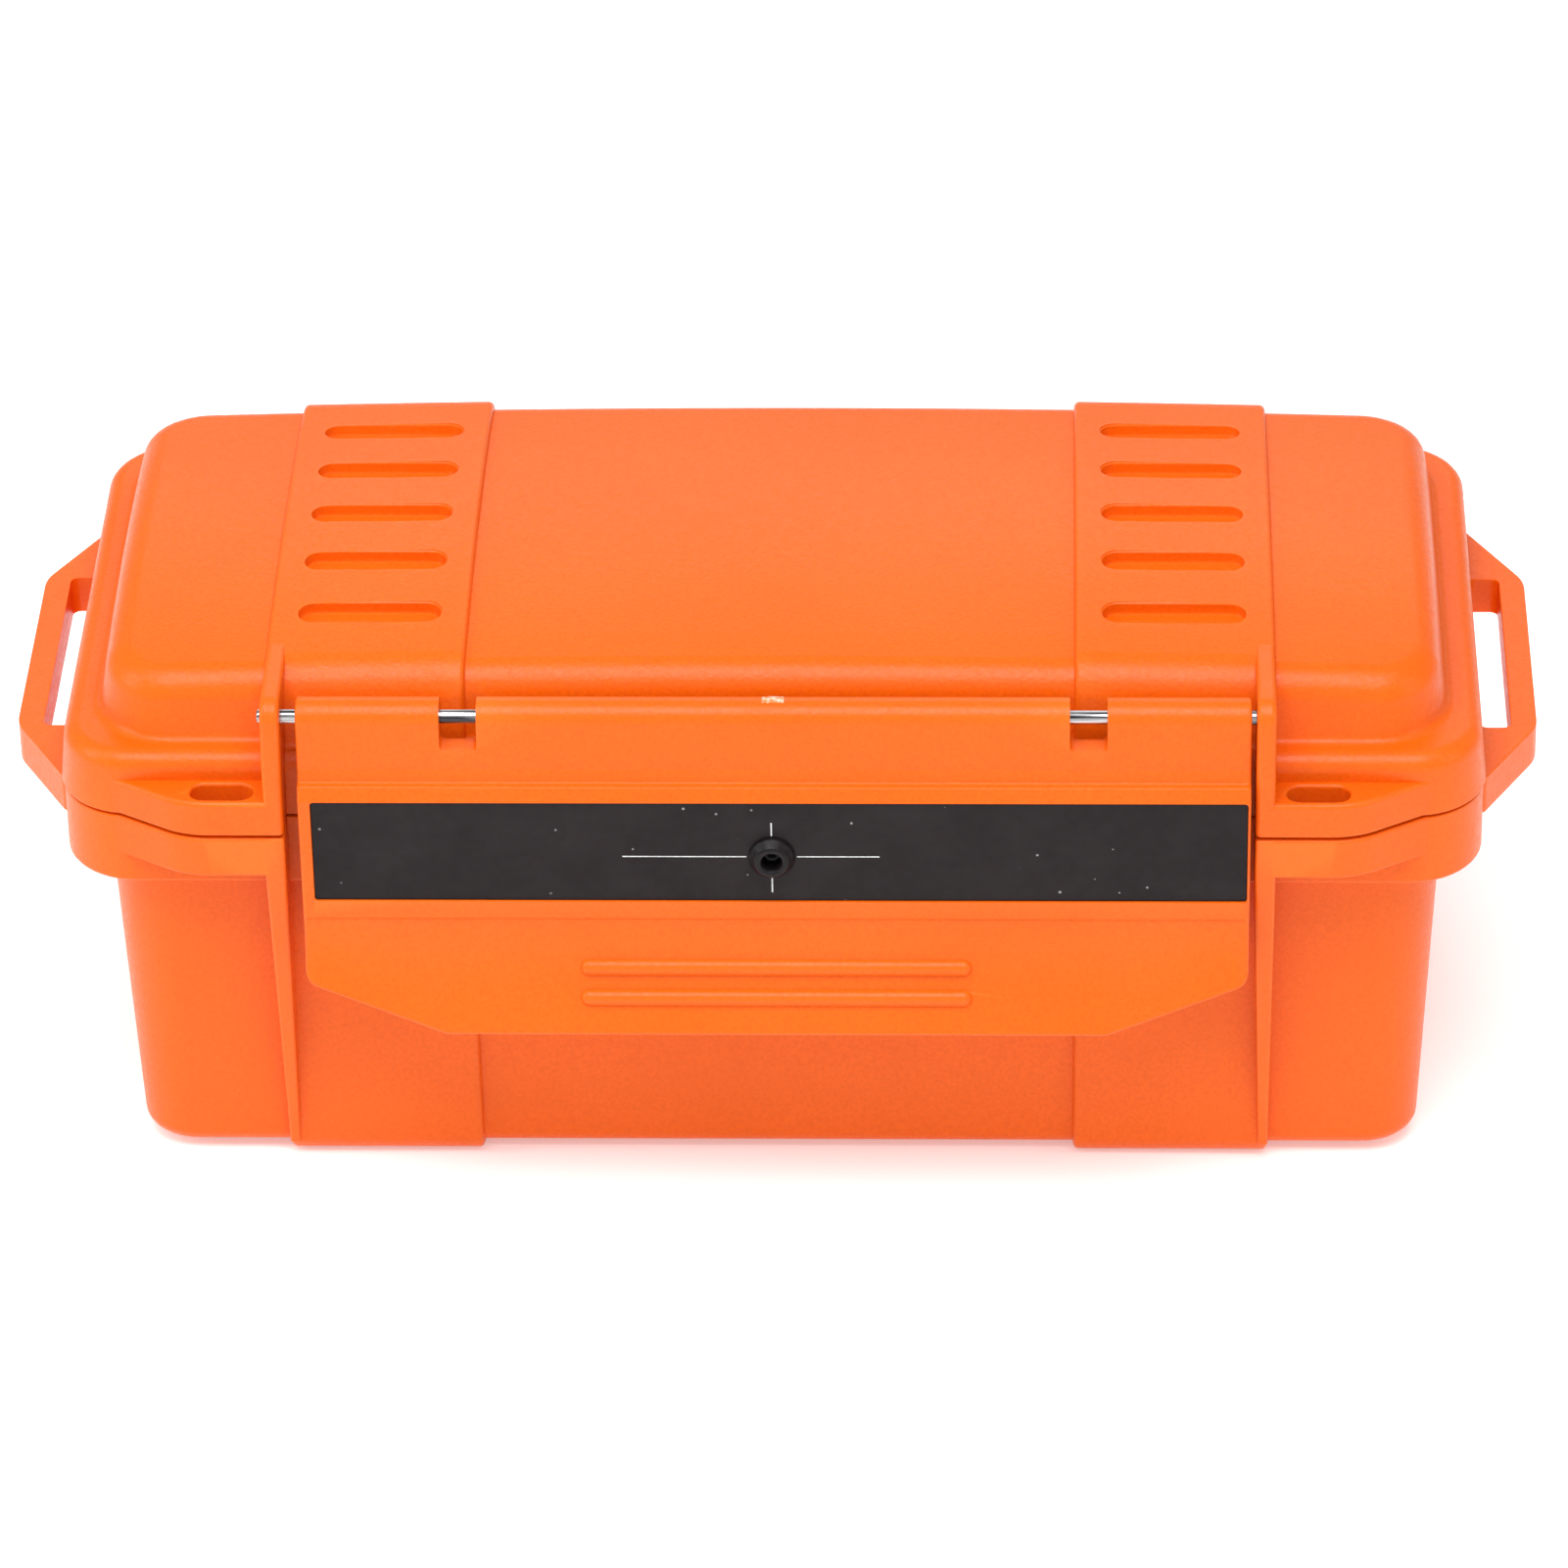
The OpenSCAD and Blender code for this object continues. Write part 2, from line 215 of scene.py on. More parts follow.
def fillet_path(points, segments=5, closed=True):
    """Replaces each corner (a, b, radius) of an outline with an arc of that radius."""
    spots = [complex(a, b) for a, b, _ in points]
    result = []
    for i, here in enumerate(spots):
        radius = points[i][2]
        if radius <= 0 or (not closed and i in (0, len(spots) - 1)):
            result.append(here)
            continue
        before, after = spots[i - 1] - here, spots[(i + 1) % len(spots)] - here
        len_b, len_a = abs(before), abs(after)
        before, after = before / len_b, after / len_a
        half = abs(cmath.phase(after / before)) / 2
        reach = min(radius / math.tan(half), 0.49 * len_b, 0.49 * len_a)
        out = (before + after) / abs(before + after) * reach / math.cos(half)
        start, end = before * reach - out, after * reach - out
        turn = cmath.phase(end / start)
        result += [here + out + start * cmath.rect(1, turn * k / segments) for k in range(segments + 1)]
    return [(spot.real, spot.imag) for spot in result]


def ring_faces(count, rings, wrap=False):
    """Quads between neighbouring rings of count points each."""
    faces = []
    for k in range(rings if wrap else rings - 1):
        a, b = k * count, (k + 1) % rings * count
        faces += [[a + i, a + (i + 1) % count, b + (i + 1) % count, b + i] for i in range(count)]
    return faces


def loft(name, rings, wrap=False):
    """A solid through equal rings of points, closed by a face at each end or into a loop."""
    count, total = len(rings[0]), sum(len(ring) for ring in rings)
    faces = ring_faces(count, len(rings), wrap)
    if not wrap:
        faces += [list(range(count)), list(range(total - count, total))]
    return mesh_object(name, [p for ring in rings for p in ring], faces)


def two_layers(name, nx, ny, point):
    """A closed sheet: point(layer, i, j) places the grid points of layers 0 and 1."""
    verts = [point(k, i, j) for k in range(2) for j in range(ny + 1) for i in range(nx + 1)]
    row, layer = nx + 1, (nx + 1) * (ny + 1)
    faces = []
    for k in range(2):
        corners = [k * layer + j * row + i for j in range(ny) for i in range(nx)]
        faces += [[a, a + 1, a + row + 1, a + row] for a in corners]
    rim = list(range(nx)) + [j * row + nx for j in range(ny)]
    rim += [ny * row + i for i in range(nx, 0, -1)] + [j * row for j in range(ny, 0, -1)]
    faces += [[a, b, b + layer, a + layer] for a, b in zip(rim, rim[1:] + rim[:1])]
    return mesh_object(name, verts, faces)


AXES = {"x": (1, 2, 0), "y": (0, 2, 1), "z": (0, 1, 2)}


def placed(axis, a, b, along):
    """Points from two coordinates across an axis and one along it."""
    at = AXES[axis]
    points = np.zeros((len(a), 3))
    points[:, at[0]], points[:, at[1]], points[:, at[2]] = a, b, along
    return list(points)


def prism(name, outline, axis, low, high, edge=0.0, segments=3):
    """An outline pushed along an axis, with its edges rounded."""
    a, b = np.array(outline).T
    obj = loft(name, [placed(axis, a, b, level) for level in (low, high)])
    return round_edges(obj, edge, segments) if edge else obj


def lathe(name, profile, axis, centre, steps=48):
    """A closed profile of (radius, place along the axis) turned round that axis."""
    a, b = (centre[i] for i in AXES[axis][:2])
    radii, places = np.array(profile).T
    turns = [2 * math.pi * s / steps for s in range(steps)]
    rings = [placed(axis, a + radii * math.cos(t), b + radii * math.sin(t), places) for t in turns]
    return loft(name, rings, wrap=True)


def round_bar(name, axis, centre, radius, low, high, edge=0.25, steps=40):
    """A solid rod with rounded ends."""
    turns = (0.5, 1.05)
    profile = [(0.0, low), (radius - edge, low)]
    profile += [(radius - edge * (1 - math.sin(t)), low + edge * (1 - math.cos(t))) for t in turns]
    profile += [(radius, low + edge), (radius, high - edge)]
    profile += [(radius - edge * (1 - math.cos(t)), high - edge * (1 - math.sin(t))) for t in turns]
    profile += [(radius - edge, high), (0.0, high)]
    return lathe(name, profile, axis, centre, steps)


def bore(axis, centre, radius, low=-95, high=95, steps=40):
    """A tool that drills a hole; without ends given, it is longer than any pin."""
    return round_bar("bore", axis, centre, radius, low, high, 0.01, steps)


# ---------------------------------------------------------------- rounded-rectangle lofts
def band_height(x):
    """How far a band stands proud at x: a rounded step, 0 outside and BAND_T on the band."""
    inside = min(abs(x) - BAND_IN, BAND_OUT - abs(x))
    if inside <= 0:
        return 0.0
    reach = min(inside / 0.9, 1.0)
    return BAND_T * math.sqrt(1 - (1 - reach) ** 2)


def x_stations():
    steps = [0.0, 0.06, 0.2, 0.45, 0.9]
    right = list(np.linspace(0, BAND_IN - 3, 9))
    right += [BAND_IN + s for s in steps]
    right += list(np.linspace(BAND_IN + 4, BAND_OUT - 4, 6))
    right += [BAND_OUT - s for s in reversed(steps)]
    right += [BAND_OUT + 3, 96.0]
    return [-x for x in reversed(right[1:])] + right


STATIONS = x_stations()
ARC_STEPS = 12
END_STEPS = 9


def end_half(hx, hy, r):
    """The right end of a rounded rectangle, from its front straight to its back one."""
    points = []
    for k in range(ARC_STEPS + 1):
        a = math.pi / 2 * (k / ARC_STEPS - 1)
        points.append((hx - r + r * math.cos(a), -(hy - r) + r * math.sin(a)))
    points += [(hx, y) for y in np.linspace(-(hy - r), hy - r, END_STEPS + 1)[1:-1]]
    points += [(x, -y) for x, y in reversed(points[:ARC_STEPS + 1])]
    return points


def crown_drop(x, y):
    """How far the crown has fallen at a place, from its top in the middle."""
    return y * y / (2 * CROWN_RY) + x * x / (2 * CROWN_RX)


def section(hx, hy, r, z, out=1.0, up=0.0, band=0.0, crown=0.0):
    """One loop of a shell: half sizes, corner radius, height, and how bands and crown shift it."""
    right = end_half(hx, hy, r)
    rows = [("front", x, -hy) for x in STATIONS]
    rows += [("end", x, y) for x, y in right]
    rows += [("back", x, hy) for x in reversed(STATIONS)]
    rows += [("end", -x, y) for x, y in reversed(right)]
    loop = []
    for kind, x, y in rows:
        step = band * band_height(x) if kind != "end" else 0.0
        side = -1 if kind == "front" else 1
        loop.append((x, y + side * out * step, z + up * step - crown * crown_drop(x, y)))
    return loop


def shell_loft(name, sections, start_band, end_band):
    """A closed shell: a lid over the first section, the sections, and a lid over the last."""
    verts = [p for s in sections for p in section(**s)]
    count = len(verts) // len(sections)
    faces = ring_faces(count, len(sections))
    for k, sign in ((0, start_band), (len(sections) - 1, end_band)):
        cap_grid(verts, faces, sections[k], k * count, sign)
    return mesh_object(name, verts, faces)


def cap_grid(verts, faces, s, start, band_sign):
    """Closes a section with a grid whose rows meet the ends and whose columns meet the straights."""
    columns = len(STATIONS)
    right = end_half(s["hx"], s["hy"], s["r"])
    rows = len(right)
    first_right, first_back = start + columns, start + columns + rows
    first_left = first_back + columns
    grid = [[start + c for c in range(columns)]]
    for i in range(1, rows - 1):
        row = []
        for x in STATIONS:
            y = right[i][1]
            drop = s.get("crown", 0) * crown_drop(x, y)
            row.append(len(verts))
            verts.append((x, y, s["z"] + band_sign * band_height(x) - drop))
        grid.append(row)
    grid.append([first_back + columns - 1 - c for c in range(columns)])
    full = [[first_left + rows - 1 - i] + grid[i] + [first_right + i] for i in range(rows)]
    for i in range(rows - 1):
        for c in range(columns + 1):
            faces.append([full[i][c], full[i][c + 1], full[i + 1][c + 1], full[i + 1][c]])


def rectangle(low, high, r):
    """The corners of a rectangle, for fillet_path to round."""
    return [(low[0], low[1], r), (high[0], low[1], r), (high[0], high[1], r), (low[0], high[1], r)]


def quarter(steps, start=0, end=90):
    """Angles from start to end degrees, in radians."""
    return [math.radians(start + (end - start) * k / steps) for k in range(steps + 1)]


def loop_at(size, grow, z, **shifts):
    """A loop for section(): half length, half depth and corner radius, grown alike, at a height."""
    return dict(zip(("hx", "hy", "r"), (s + grow for s in size)), z=z, **shifts)


# ---------------------------------------------------------------- shells
def lug_outline(side):
    inner, front = RIB_X + 0.05, -LUG_Y + 0.03
    points = [(inner, -RIM_Y + 1.5, 0), (inner, front, 0), (101.9, front, 15), (118, -52.3, 0),
              (113, -RIM_Y + 1.5, 0)]
    return [(side * a, b) for a, b in fillet_path(points, 8)]


def pill_tool(levels, half, radius, place):
    """A pill-shaped cutter, lofted through levels of (growth, height) and put in place."""
    turns = [(end, math.pi * (k / 12 - 0.5 + end)) for end in (0, 1) for k in range(13)]
    rings = []
    for grow, height in levels:
        r = radius + grow
        rings.append([place((1 - 2 * end) * (half - radius) + r * math.cos(a), r * math.sin(a), height)
                      for end, a in turns])
    return loft("pill_tool", rings)


def padlock_tool(side):
    low, high = PART_Z - 18, LUG_TOP
    levels = [(0, low), (0, high - 0.6), (0.08, high - 0.3), (0.3, high - 0.08), (0.55, high + 0.01),
              (0.6, high + 9)]
    return pill_tool(levels, 5.5, 2.5, lambda a, b, h: (side * PADLOCK_X + a, -LUG_Y + 4 + b, h))


def lid_sections():
    """From the crown down the dome and the rim, then up inside to the lid's ceiling."""
    dome, edge = (TUB_X - 0.8, TUB_Y - 1.7, 12.0), 5.4
    rows = [loop_at(dome, -edge * (1 - math.cos(a)), CROWN_Z - edge + edge * math.sin(a),
                    out=math.cos(a), up=math.sin(a), band=1, crown=1) for a in reversed(quarter(8))]
    neck, foot = (TUB_X + 0.2, TUB_Y - 0.6, 13.0), 1.8
    rows += [loop_at(neck, foot * (1 - math.cos(a)), RIM_TOP + foot - foot * math.sin(a), band=1)
             for a in quarter(4)]
    shoulder, bend = (RIM_X - 0.8, RIM_Y - 0.4, RIM_R - 0.6), 3.2
    rows += [loop_at(shoulder, -bend * (1 - math.cos(a)), RIM_TOP - bend + bend * math.sin(a))
             for a in quarter(6, 90, 0)]
    rim, low = (RIM_X, RIM_Y, RIM_R), PART_Z + GAP
    rows += [loop_at(rim, -inset, low + lift) for inset, lift in ((0, 0.5), (0.15, 0.15), (0.5, 0))]
    groove = ((1.7, 0), (1.7, 3), (-1.7, 3), (-1.7, 0))
    rows += [loop_at(SEAL, grow, low + lift) for grow, lift in groove]
    rows += [loop_at(INSIDE, 0.4, low), loop_at(INSIDE, 0, low + 0.4)]
    inner = 5.5
    for a in quarter(5):
        inset = inner * (1 - math.cos(a))
        rows.append(dict(hx=INSIDE[0] - 1 - inset, hy=INSIDE[1] - 1 - inset, r=INSIDE[2] - 0.5 * inset,
                         z=CROWN_Z - WALL - inner + inner * math.sin(a), crown=1))
    return rows


def knuckle(low, high, web):
    """A hinge knuckle from low to high, and the web that joins it to the rim."""
    barrel = round_bar("knuckle", "x", HINGE, KNUCKLE_R, low, high, 0.3)
    return barrel, prism("knuckle_web", fillet_path(web, 3), "x", low + 0.05, high - 0.05, 0.3, 2)


def lid_rib(side):
    y, z = LATCH_AXIS[1:]
    reach = 4.2
    outline = [(-RIM_Y + 0.8, PART_Z + GAP), (-RIM_Y + 0.8, RIM_TOP - 7), (-48, RIM_TOP - 4),
               (-44, RIM_TOP + 8), (-38.5, CROWN_Z - 2.6), (-40, CROWN_Z - 1.95)]
    outline += [(y + reach * math.cos(t), z + reach * math.sin(t)) for t in quarter(9, 90, 180)]
    outline += [(-LUG_Y, RIM_TOP + 3), (-LUG_Y, PART_Z + GAP)]
    low, high = sorted((side * RIB_X, side * (RIB_X + RIB_T)))
    return prism("lid_rib", outline, "x", low, high, 1.4, 4)


def grip_slot(side, index):
    """A pill-shaped recess across a band, with a softened lip and floor."""
    y = (index - (SLOT_COUNT - 1) / 2) * SLOT_PITCH
    tilt = math.asin(y / CROWN_RY)
    x = side * (BAND_IN + BAND_OUT) / 2
    top = CROWN_Z + BAND_T - crown_drop(x, y)
    levels = [(-0.7, -2.2), (-0.25, -2.05), (0, -1.6), (0.02, -0.4), (0.12, -0.15), (0.35, 0.0),
              (0.4, 2)]

    def place(a, b, h):
        return (x + a, y + b * math.cos(tilt) + h * math.sin(tilt),
                top - b * math.sin(tilt) + h * math.cos(tilt))
    return pill_tool(levels, 12.5, 2.65, place)


def lid_shell():
    lid = shell_loft("lid_body", lid_sections(), 1, 0)
    for side in (1, -1):
        lug = prism("lid_lug", lug_outline(side), "z", PART_Z + GAP, LUG_TOP, 1.2, 4)
        add(lid, lug, lid_rib(side))
        cut(lid, padlock_tool(side))
    web = [(RIM_Y - 2, 79, 0), (59.5, 78.8, 0), (61.4, 79.6, 0.6), (61.2, 80.8, 0.6),
           (55.6, 86.5, 1.5), (RIM_Y - 2, 87, 0)]
    for span in ((-58.5, -14.5), (14.5, 58.5)):
        add(lid, *knuckle(*span, web))
    for side in (1, -1):
        cut(lid, *[grip_slot(side, i) for i in range(SLOT_COUNT)])
    return cut(lid, bore("x", HINGE, PIN_R + TURN_GAP), bore("x", LATCH_AXIS, PIN_R + HOLD_GAP))


def base_sections():
    """From the tub's floor up the outside and the skirt, then down inside to the floor."""
    floor_z, edge, foot, top = BAND_T, 3.5, 1.2, PART_Z - GAP
    rows = []
    for a in quarter(6):
        inset = DRAFT + edge * (1 - math.sin(a))
        rows.append(dict(hx=TUB_X - inset, hy=TUB_Y - inset, r=TUB_LOW_R - 0.5 * (inset - DRAFT),
                         z=floor_z + edge * (1 - math.cos(a)), out=math.sin(a), up=-math.cos(a), band=1))
    neck = (TUB_X - 0.05, TUB_Y - 0.05, TUB_R)
    rows += [loop_at(neck, foot * (1 - math.cos(a)), SKIRT_Z - foot + foot * math.sin(a), band=1)
             for a in quarter(3)]
    rim, round_r = (BASE_RIM_X, RIM_Y, RIM_R), 1.0
    rows += [loop_at(rim, -round_r * (1 - math.cos(a)), SKIRT_Z + round_r - round_r * math.sin(a))
             for a in quarter(4, 90, 0)]
    rows += [loop_at(rim, -inset, top - down) for inset, down in ((0, 0.5), (0.15, 0.15), (0.5, 0))]
    tongue = ((0.7, 0), (0.7, 0.7), (0.4, 1), (-0.4, 1), (-0.7, 0.7), (-0.7, 0))
    rows += [loop_at(SEAL, across, top + up) for across, up in tongue]
    rows += [loop_at(INSIDE, 0.4, top), loop_at(INSIDE, 0, top - 0.4)]
    inner = 2.0
    for a in quarter(4):
        inset = inner * (1 - math.cos(a))
        rows.append(dict(hx=INSIDE[0] - DRAFT - inset, hy=INSIDE[1] - DRAFT - inset,
                         r=TUB_LOW_R - WALL - inset, z=floor_z + WALL + inner * (1 - math.sin(a))))
    return rows


def base_rib(side):
    """A rib up the tub's front: its outer face is upright and its inner face leans outwards."""
    top = PART_Z - GAP
    outline = [(-48, top), (-LUG_Y, top), (-LUG_Y, LUG_LOW), (-48.4, 3.2), (-45.5, 3.2)]
    low, high = sorted((side * RIB_X, side * (BAND_OUT + 0.05)))
    rib = prism("base_rib", outline, "x", low, high)
    taper = [(RIB_X - 1, -1), (BAND_OUT - 1.7, -1), (RIB_X, LUG_LOW), (RIB_X - 1, LUG_LOW)]
    cut(rib, prism("taper", [(side * a, b) for a, b in taper], "y", -70, -40))
    return round_edges(rib, 0.6)


def end_handle(side):
    """The moulded loop at one end, with its webbing slot."""
    top = PART_Z - GAP
    points = [(BASE_RIM_X - 10, -44, 0), (BASE_RIM_X + 0.2, -42, 2), (HANDLE_X, -24.5, 9),
              (HANDLE_X, 24.5, 9), (BASE_RIM_X + 0.2, 42, 2), (BASE_RIM_X - 10, 44, 0)]
    outline = [(side * a, b) for a, b in fillet_path(points, 6)]
    loop = prism("end_handle", outline, "z", top - 7.2, top)
    low, high = (BASE_RIM_X + 0.02, -25), (BASE_RIM_X + 5.6, 25)
    slot = [(side * a, b) for a, b in fillet_path(rectangle(low, high, 1.5), 5)]
    cut(loop, prism("slot", slot, "z", top - 12, top + 5))
    merge_flats(loop)
    return round_edges(loop, 0.7)


def base_shell():
    base = shell_loft("tub_body", base_sections(), -1, 0)
    top = PART_Z - GAP
    for side in (1, -1):
        lug = prism("base_lug", lug_outline(side), "z", LUG_LOW, top, 0.6, 3)
        add(base, lug, base_rib(side), end_handle(side))
        cut(base, padlock_tool(side))
    web = [(RIM_Y - 2, 66, 0), (61.2, 75.4, 1), (61.4, 77, 0.6), (58.6, 77.2, 0), (RIM_Y - 2, 77.2, 0)]
    for span in ((-87, -59), (-14, 14), (59, 87)):
        add(base, *knuckle(*span, web))
    lip = [(-RIM_Y + 1.5, 64.6, 0), (-55.5, 64.6, 0.5), (-58.4, 66.5, 0.5), (-58.4, 69.5, 0.5),
           (-RIM_Y + 1.5, 71.5, 0)]
    add(base, prism("catch", fillet_path(lip, 3), "x", -76, 76, 0.3, 2),
        round_bar("vent_boss", "y", PLUG, 2.55, -58, -50, 0.3))
    return cut(base, bore("y", PLUG, 0.8, -62, -42, 24), bore("x", HINGE, PIN_R + HOLD_GAP))


# ---------------------------------------------------------------- latch
TIP_Z = LATCH_LOW[2] + 0.5
PANEL_Y = -63.5
FLARE_Z = PART_Z - 16
BARREL_R = 3.5


def flare_y(z):
    """The hollow curve of the latch's front face below the label band."""
    return PANEL_Y + 0.25 - 5.85 * max(0.0, (FLARE_Z - z) / 19.6) ** 1.8


def latch_section(tip_z):
    """The latch's outline in (y, z), cut off at the given height along its flared edge."""
    y, z = LATCH_AXIS[1:]
    turns = quarter(16, -45, 176)
    barrel = [(y + BARREL_R * math.cos(t), z + BARREL_R * math.sin(t), 0) for t in turns]
    flare = [(flare_y(h), h, 0) for h in np.linspace(FLARE_Z + 0.1, tip_z + 1.2, 9)]
    tip_y = flare_y(tip_z)
    back = [(flare_y(h) + 2.45, h, 0) for h in np.linspace(tip_z + 1.5, FLARE_Z - 1.8, 7)]
    rest = [(-60.7, 91.6, 2.5), (-61.3, 89.3, 0.5), (-62.5, 89, 0.4), (PANEL_Y, 86.4, 0.5),
            (PANEL_Y, FLARE_Z + 0.5, 0.2)]
    rest += flare + [(tip_y, tip_z, 0.9), (tip_y + 2.4, tip_z - 0.6, 0.9)] + back
    rest += [(-58.9, 62, 0.5), (-58.9, 65, 0.4), (-60.2, 65.7, 0.3), (-60.2, 86.5, 2), (-58.4, 92, 2),
             (-56.4, 95.2, 1)]
    return fillet_path(barrel + rest, 4)


def inset_outline(outline, depth):
    """The closed outline moved inwards by the depth."""
    points = np.array(outline)
    ahead = np.roll(points, -1, 0)
    before, after = points - np.roll(points, 1, 0), ahead - points
    tangent = unit_rows(unit_rows(before) + unit_rows(after))
    area = np.sum(points[:, 0] * ahead[:, 1] - ahead[:, 0] * points[:, 1])
    return points + tangent @ [[0, 1], [-1, 0]] * math.copysign(depth, area)


def unit_rows(rows):
    return rows / np.maximum(np.linalg.norm(rows, axis=1)[:, None], 1e-9)


def latch_body():
    """The flap, lofted from station to station along its barrel."""
    edge = 0.55
    lower = [(0, TIP_Z, 0), (57.9, TIP_Z, 4), (LATCH_HALF, TIP_Z + 8.2, 3), (LATCH_HALF, TIP_Z + 18, 0)]
    path = np.array(fillet_path(lower, 7, closed=False))[:-1]
    xs = [0.0, 14, 28, 42] + [float(p[0]) for p in path[1:] if p[0] < LATCH_HALF - edge - 0.05]
    xs += [LATCH_HALF - edge + edge * math.sin(t) for t in quarter(4)]
    rings = []
    for x in [-x for x in reversed(xs[1:])] + xs:
        outline = latch_section(float(np.interp(abs(x), path[:, 0], path[:, 1])))
        over = max(0.0, (abs(x) - (LATCH_HALF - edge)) / edge)
        outline = inset_outline(outline, edge * (1 - math.sqrt(max(0.0, 1 - over * over))))
        rings.append([(x + LATCH_X, y, z) for y, z in outline])
    return loft("latch_flap", rings)


def grip_bar(z):
    """A raised rounded bar for the fingertips."""
    half, r, turns = 34.4, 1.6, quarter(5)
    profile = [(0.0, -half)] + [(r * math.sin(t), -half + r - r * math.cos(t)) for t in turns[1:]]
    profile += [(r * math.cos(t), half - r + r * math.sin(t)) for t in turns[:-1]] + [(0.0, half)]
    return lathe("grip_bar", [(a, b + LATCH_X) for a, b in profile], "x", (0, flare_y(z) + 0.5, z), 24)


def latch_panel():
    latch = latch_body()
    add(latch, grip_bar(52.8), grip_bar(47.6))
    y, z = LATCH_AXIS[1:]
    for side in (1, -1):
        x = LATCH_X + side * 54.5
        notch = [(x - 3.25, z - 4.6, 0.8), (x + 3.25, z - 4.6, 0.8), (x + 3.25, z + 8, 0),
                 (x - 3.25, z + 8, 0)]
        cut(latch, prism("notch", fillet_path(notch, 3), "y", y - 8, y + 5))
    room = np.array([0.1, 0, 0.15])
    recess = rectangle((LABEL_LOW - room)[::2], (LABEL_HIGH + room)[::2], 0.6)
    cut(latch, prism("recess", fillet_path(recess, 3), "y", -68, LABEL_HIGH[1]),
        bore("y", PLUG, 3, -66, -50), bore("x", LATCH_AXIS, PIN_R + TURN_GAP))
    return latch


def gate_scar():
    """The torn spot on the barrel where the mould's gate was broken off."""
    y, z = LATCH_AXIS[1:]
    across, around = 26, 10

    def point(k, i, j):
        u, v = 2 * i / across - 1, 2 * j / around - 1
        edge = max(0.0, 1 - (u * u + v * v) ** 3)
        r = BARREL_R + ((0.12 + 0.16 * wobble(i * 0.55, j * 0.9, 3)) * edge if k else -0.3)
        t = math.radians(82 + 21 * v + 3 * wobble(i * 0.4, j, 8))
        x = LATCH_X + 1.9 * u + 0.25 * wobble(j * 0.7, i, 5)
        return x, y + r * math.cos(t), z + r * math.sin(t)
    return two_layers("scar", across, around, point)


# ---------------------------------------------------------------- small hardware
def steel_pin(name, at):
    low, high = node_box(name)
    return round_bar(name, "x", at, PIN_R, low[0], high[0], 0.3)


def label_plate():
    corners = rectangle(LABEL_LOW[::2], LABEL_HIGH[::2], 0.5)
    plate = prism("plate", fillet_path(corners, 4), "y", LABEL_LOW[1], LABEL_HIGH[1], 0.1, 2)
    return cut(plate, bore("y", PLUG, 3.1, -66, -60))


def label_print():
    """Two ticks and a pointer line on each side of the plug, printed on the label."""
    front = LABEL_LOW[1]
    bars = [(-0.12, 0.12, 4.3, 7.0), (-0.12, 0.12, -7.4, -4.3), (4.4, 18.7, -0.1, 0.1),
            (-26, -4.4, -0.1, 0.1)]
    verts, faces = [], []
    for x0, x1, z0, z1 in bars:
        box = [*ring_faces(4, 2), (0, 1, 2, 3), (4, 5, 6, 7)]
        faces += [[len(verts) + i for i in face] for face in box]
        for y in (front - 0.03, front + 0.02):
            verts += [(PLUG[0] + x, y, PLUG[2] + z) for x, z in ((x0, z0), (x1, z0), (x1, z1), (x0, z1))]
    return mesh_object("print", verts, faces)


def plug_lathe(name, profile):
    """A part turned about the plug's axis: radius and depth behind the label's face."""
    return lathe(name, [(r, LABEL_LOW[1] + depth) for r, depth in profile], "y", PLUG, 64)


def valve_bezel():
    """A moulded ring with a raised lip and a snap-in neck."""
    ring = [(1.65, 3.5), (2.9, 3.5), (2.9, 0.02), (3.9, 0.02), (4.05, -0.15), (4.02, -0.6),
            (3.85, -0.9), (3.5, -1.25), (3.2, -1.7), (3.0, -2.0), (2.75, -2.15), (2.3, -2.15),
            (1.95, -2.0), (1.72, -1.6), (1.65, -1.1)]
    return plug_lathe("bezel", ring)


def valve_plug():
    """The rubber plug: a sealing foot, a ribbed stem and a blind hole in its face."""
    body = [(0, 4.75), (2.1, 4.75), (2.4, 4.45), (2.35, 4.15), (1.6, 4.0), (1.6, 2.6), (1.48, 2.4),
            (1.6, 2.2), (1.6, 1.1), (1.5, 0.8), (1.2, 0.7), (0.92, 0.8), (0.8, 1.1), (0.75, 1.7),
            (0.5, 1.88), (0, 1.92)]
    return plug_lathe("plug", body)


def valve_nut():
    """A chamfered hexagon nut that clamps the bezel from behind."""
    turns = quarter(5, 30, 330)
    hexagon = [(PLUG[0] + 4.5 * math.cos(a), PLUG[2] + 4.5 * math.sin(a)) for a in turns]
    low, high = node_box("valve_nut")
    nut = prism("nut", hexagon, "y", low[1], high[1], 0.15, 2)
    return cut(nut, bore("y", PLUG, 2.96, -66, -50))


def gasket():
    """The foam-rubber cord of the seal, with rounded edges and the tongue's press mark."""
    low, high, half = GASKET_LOW[2], GASKET_HIGH[2], SEAL_HALF
    edge = [(-half, low + 0.5), (-1.3, low + 0.12), (-0.95, low), (-0.75, low + 0.03), (-0.55, low + 0.22),
            (0.55, low + 0.22), (0.75, low + 0.03), (0.95, low), (1.3, low + 0.12), (half, low + 0.5),
            (half, high - 0.3), (1.2, high), (-1.2, high), (-half, high - 0.3)]
    return loft("gasket", [section(**loop_at(SEAL, grow, z)) for grow, z in edge], wrap=True)


# ---------------------------------------------------------------- contents
def wobble(*at):
    """Smooth repeatable unevenness, from -1 to 1."""
    return noise.noise(Vector(at))


def rounded_slab(name, low, high, r, edge, steps=4):
    """A block with rounded corners in plan and rounded upper and lower edges."""
    return prism(name, fillet_path(rectangle(low, high, r), 6), "z", low[2], high[2], edge, steps)


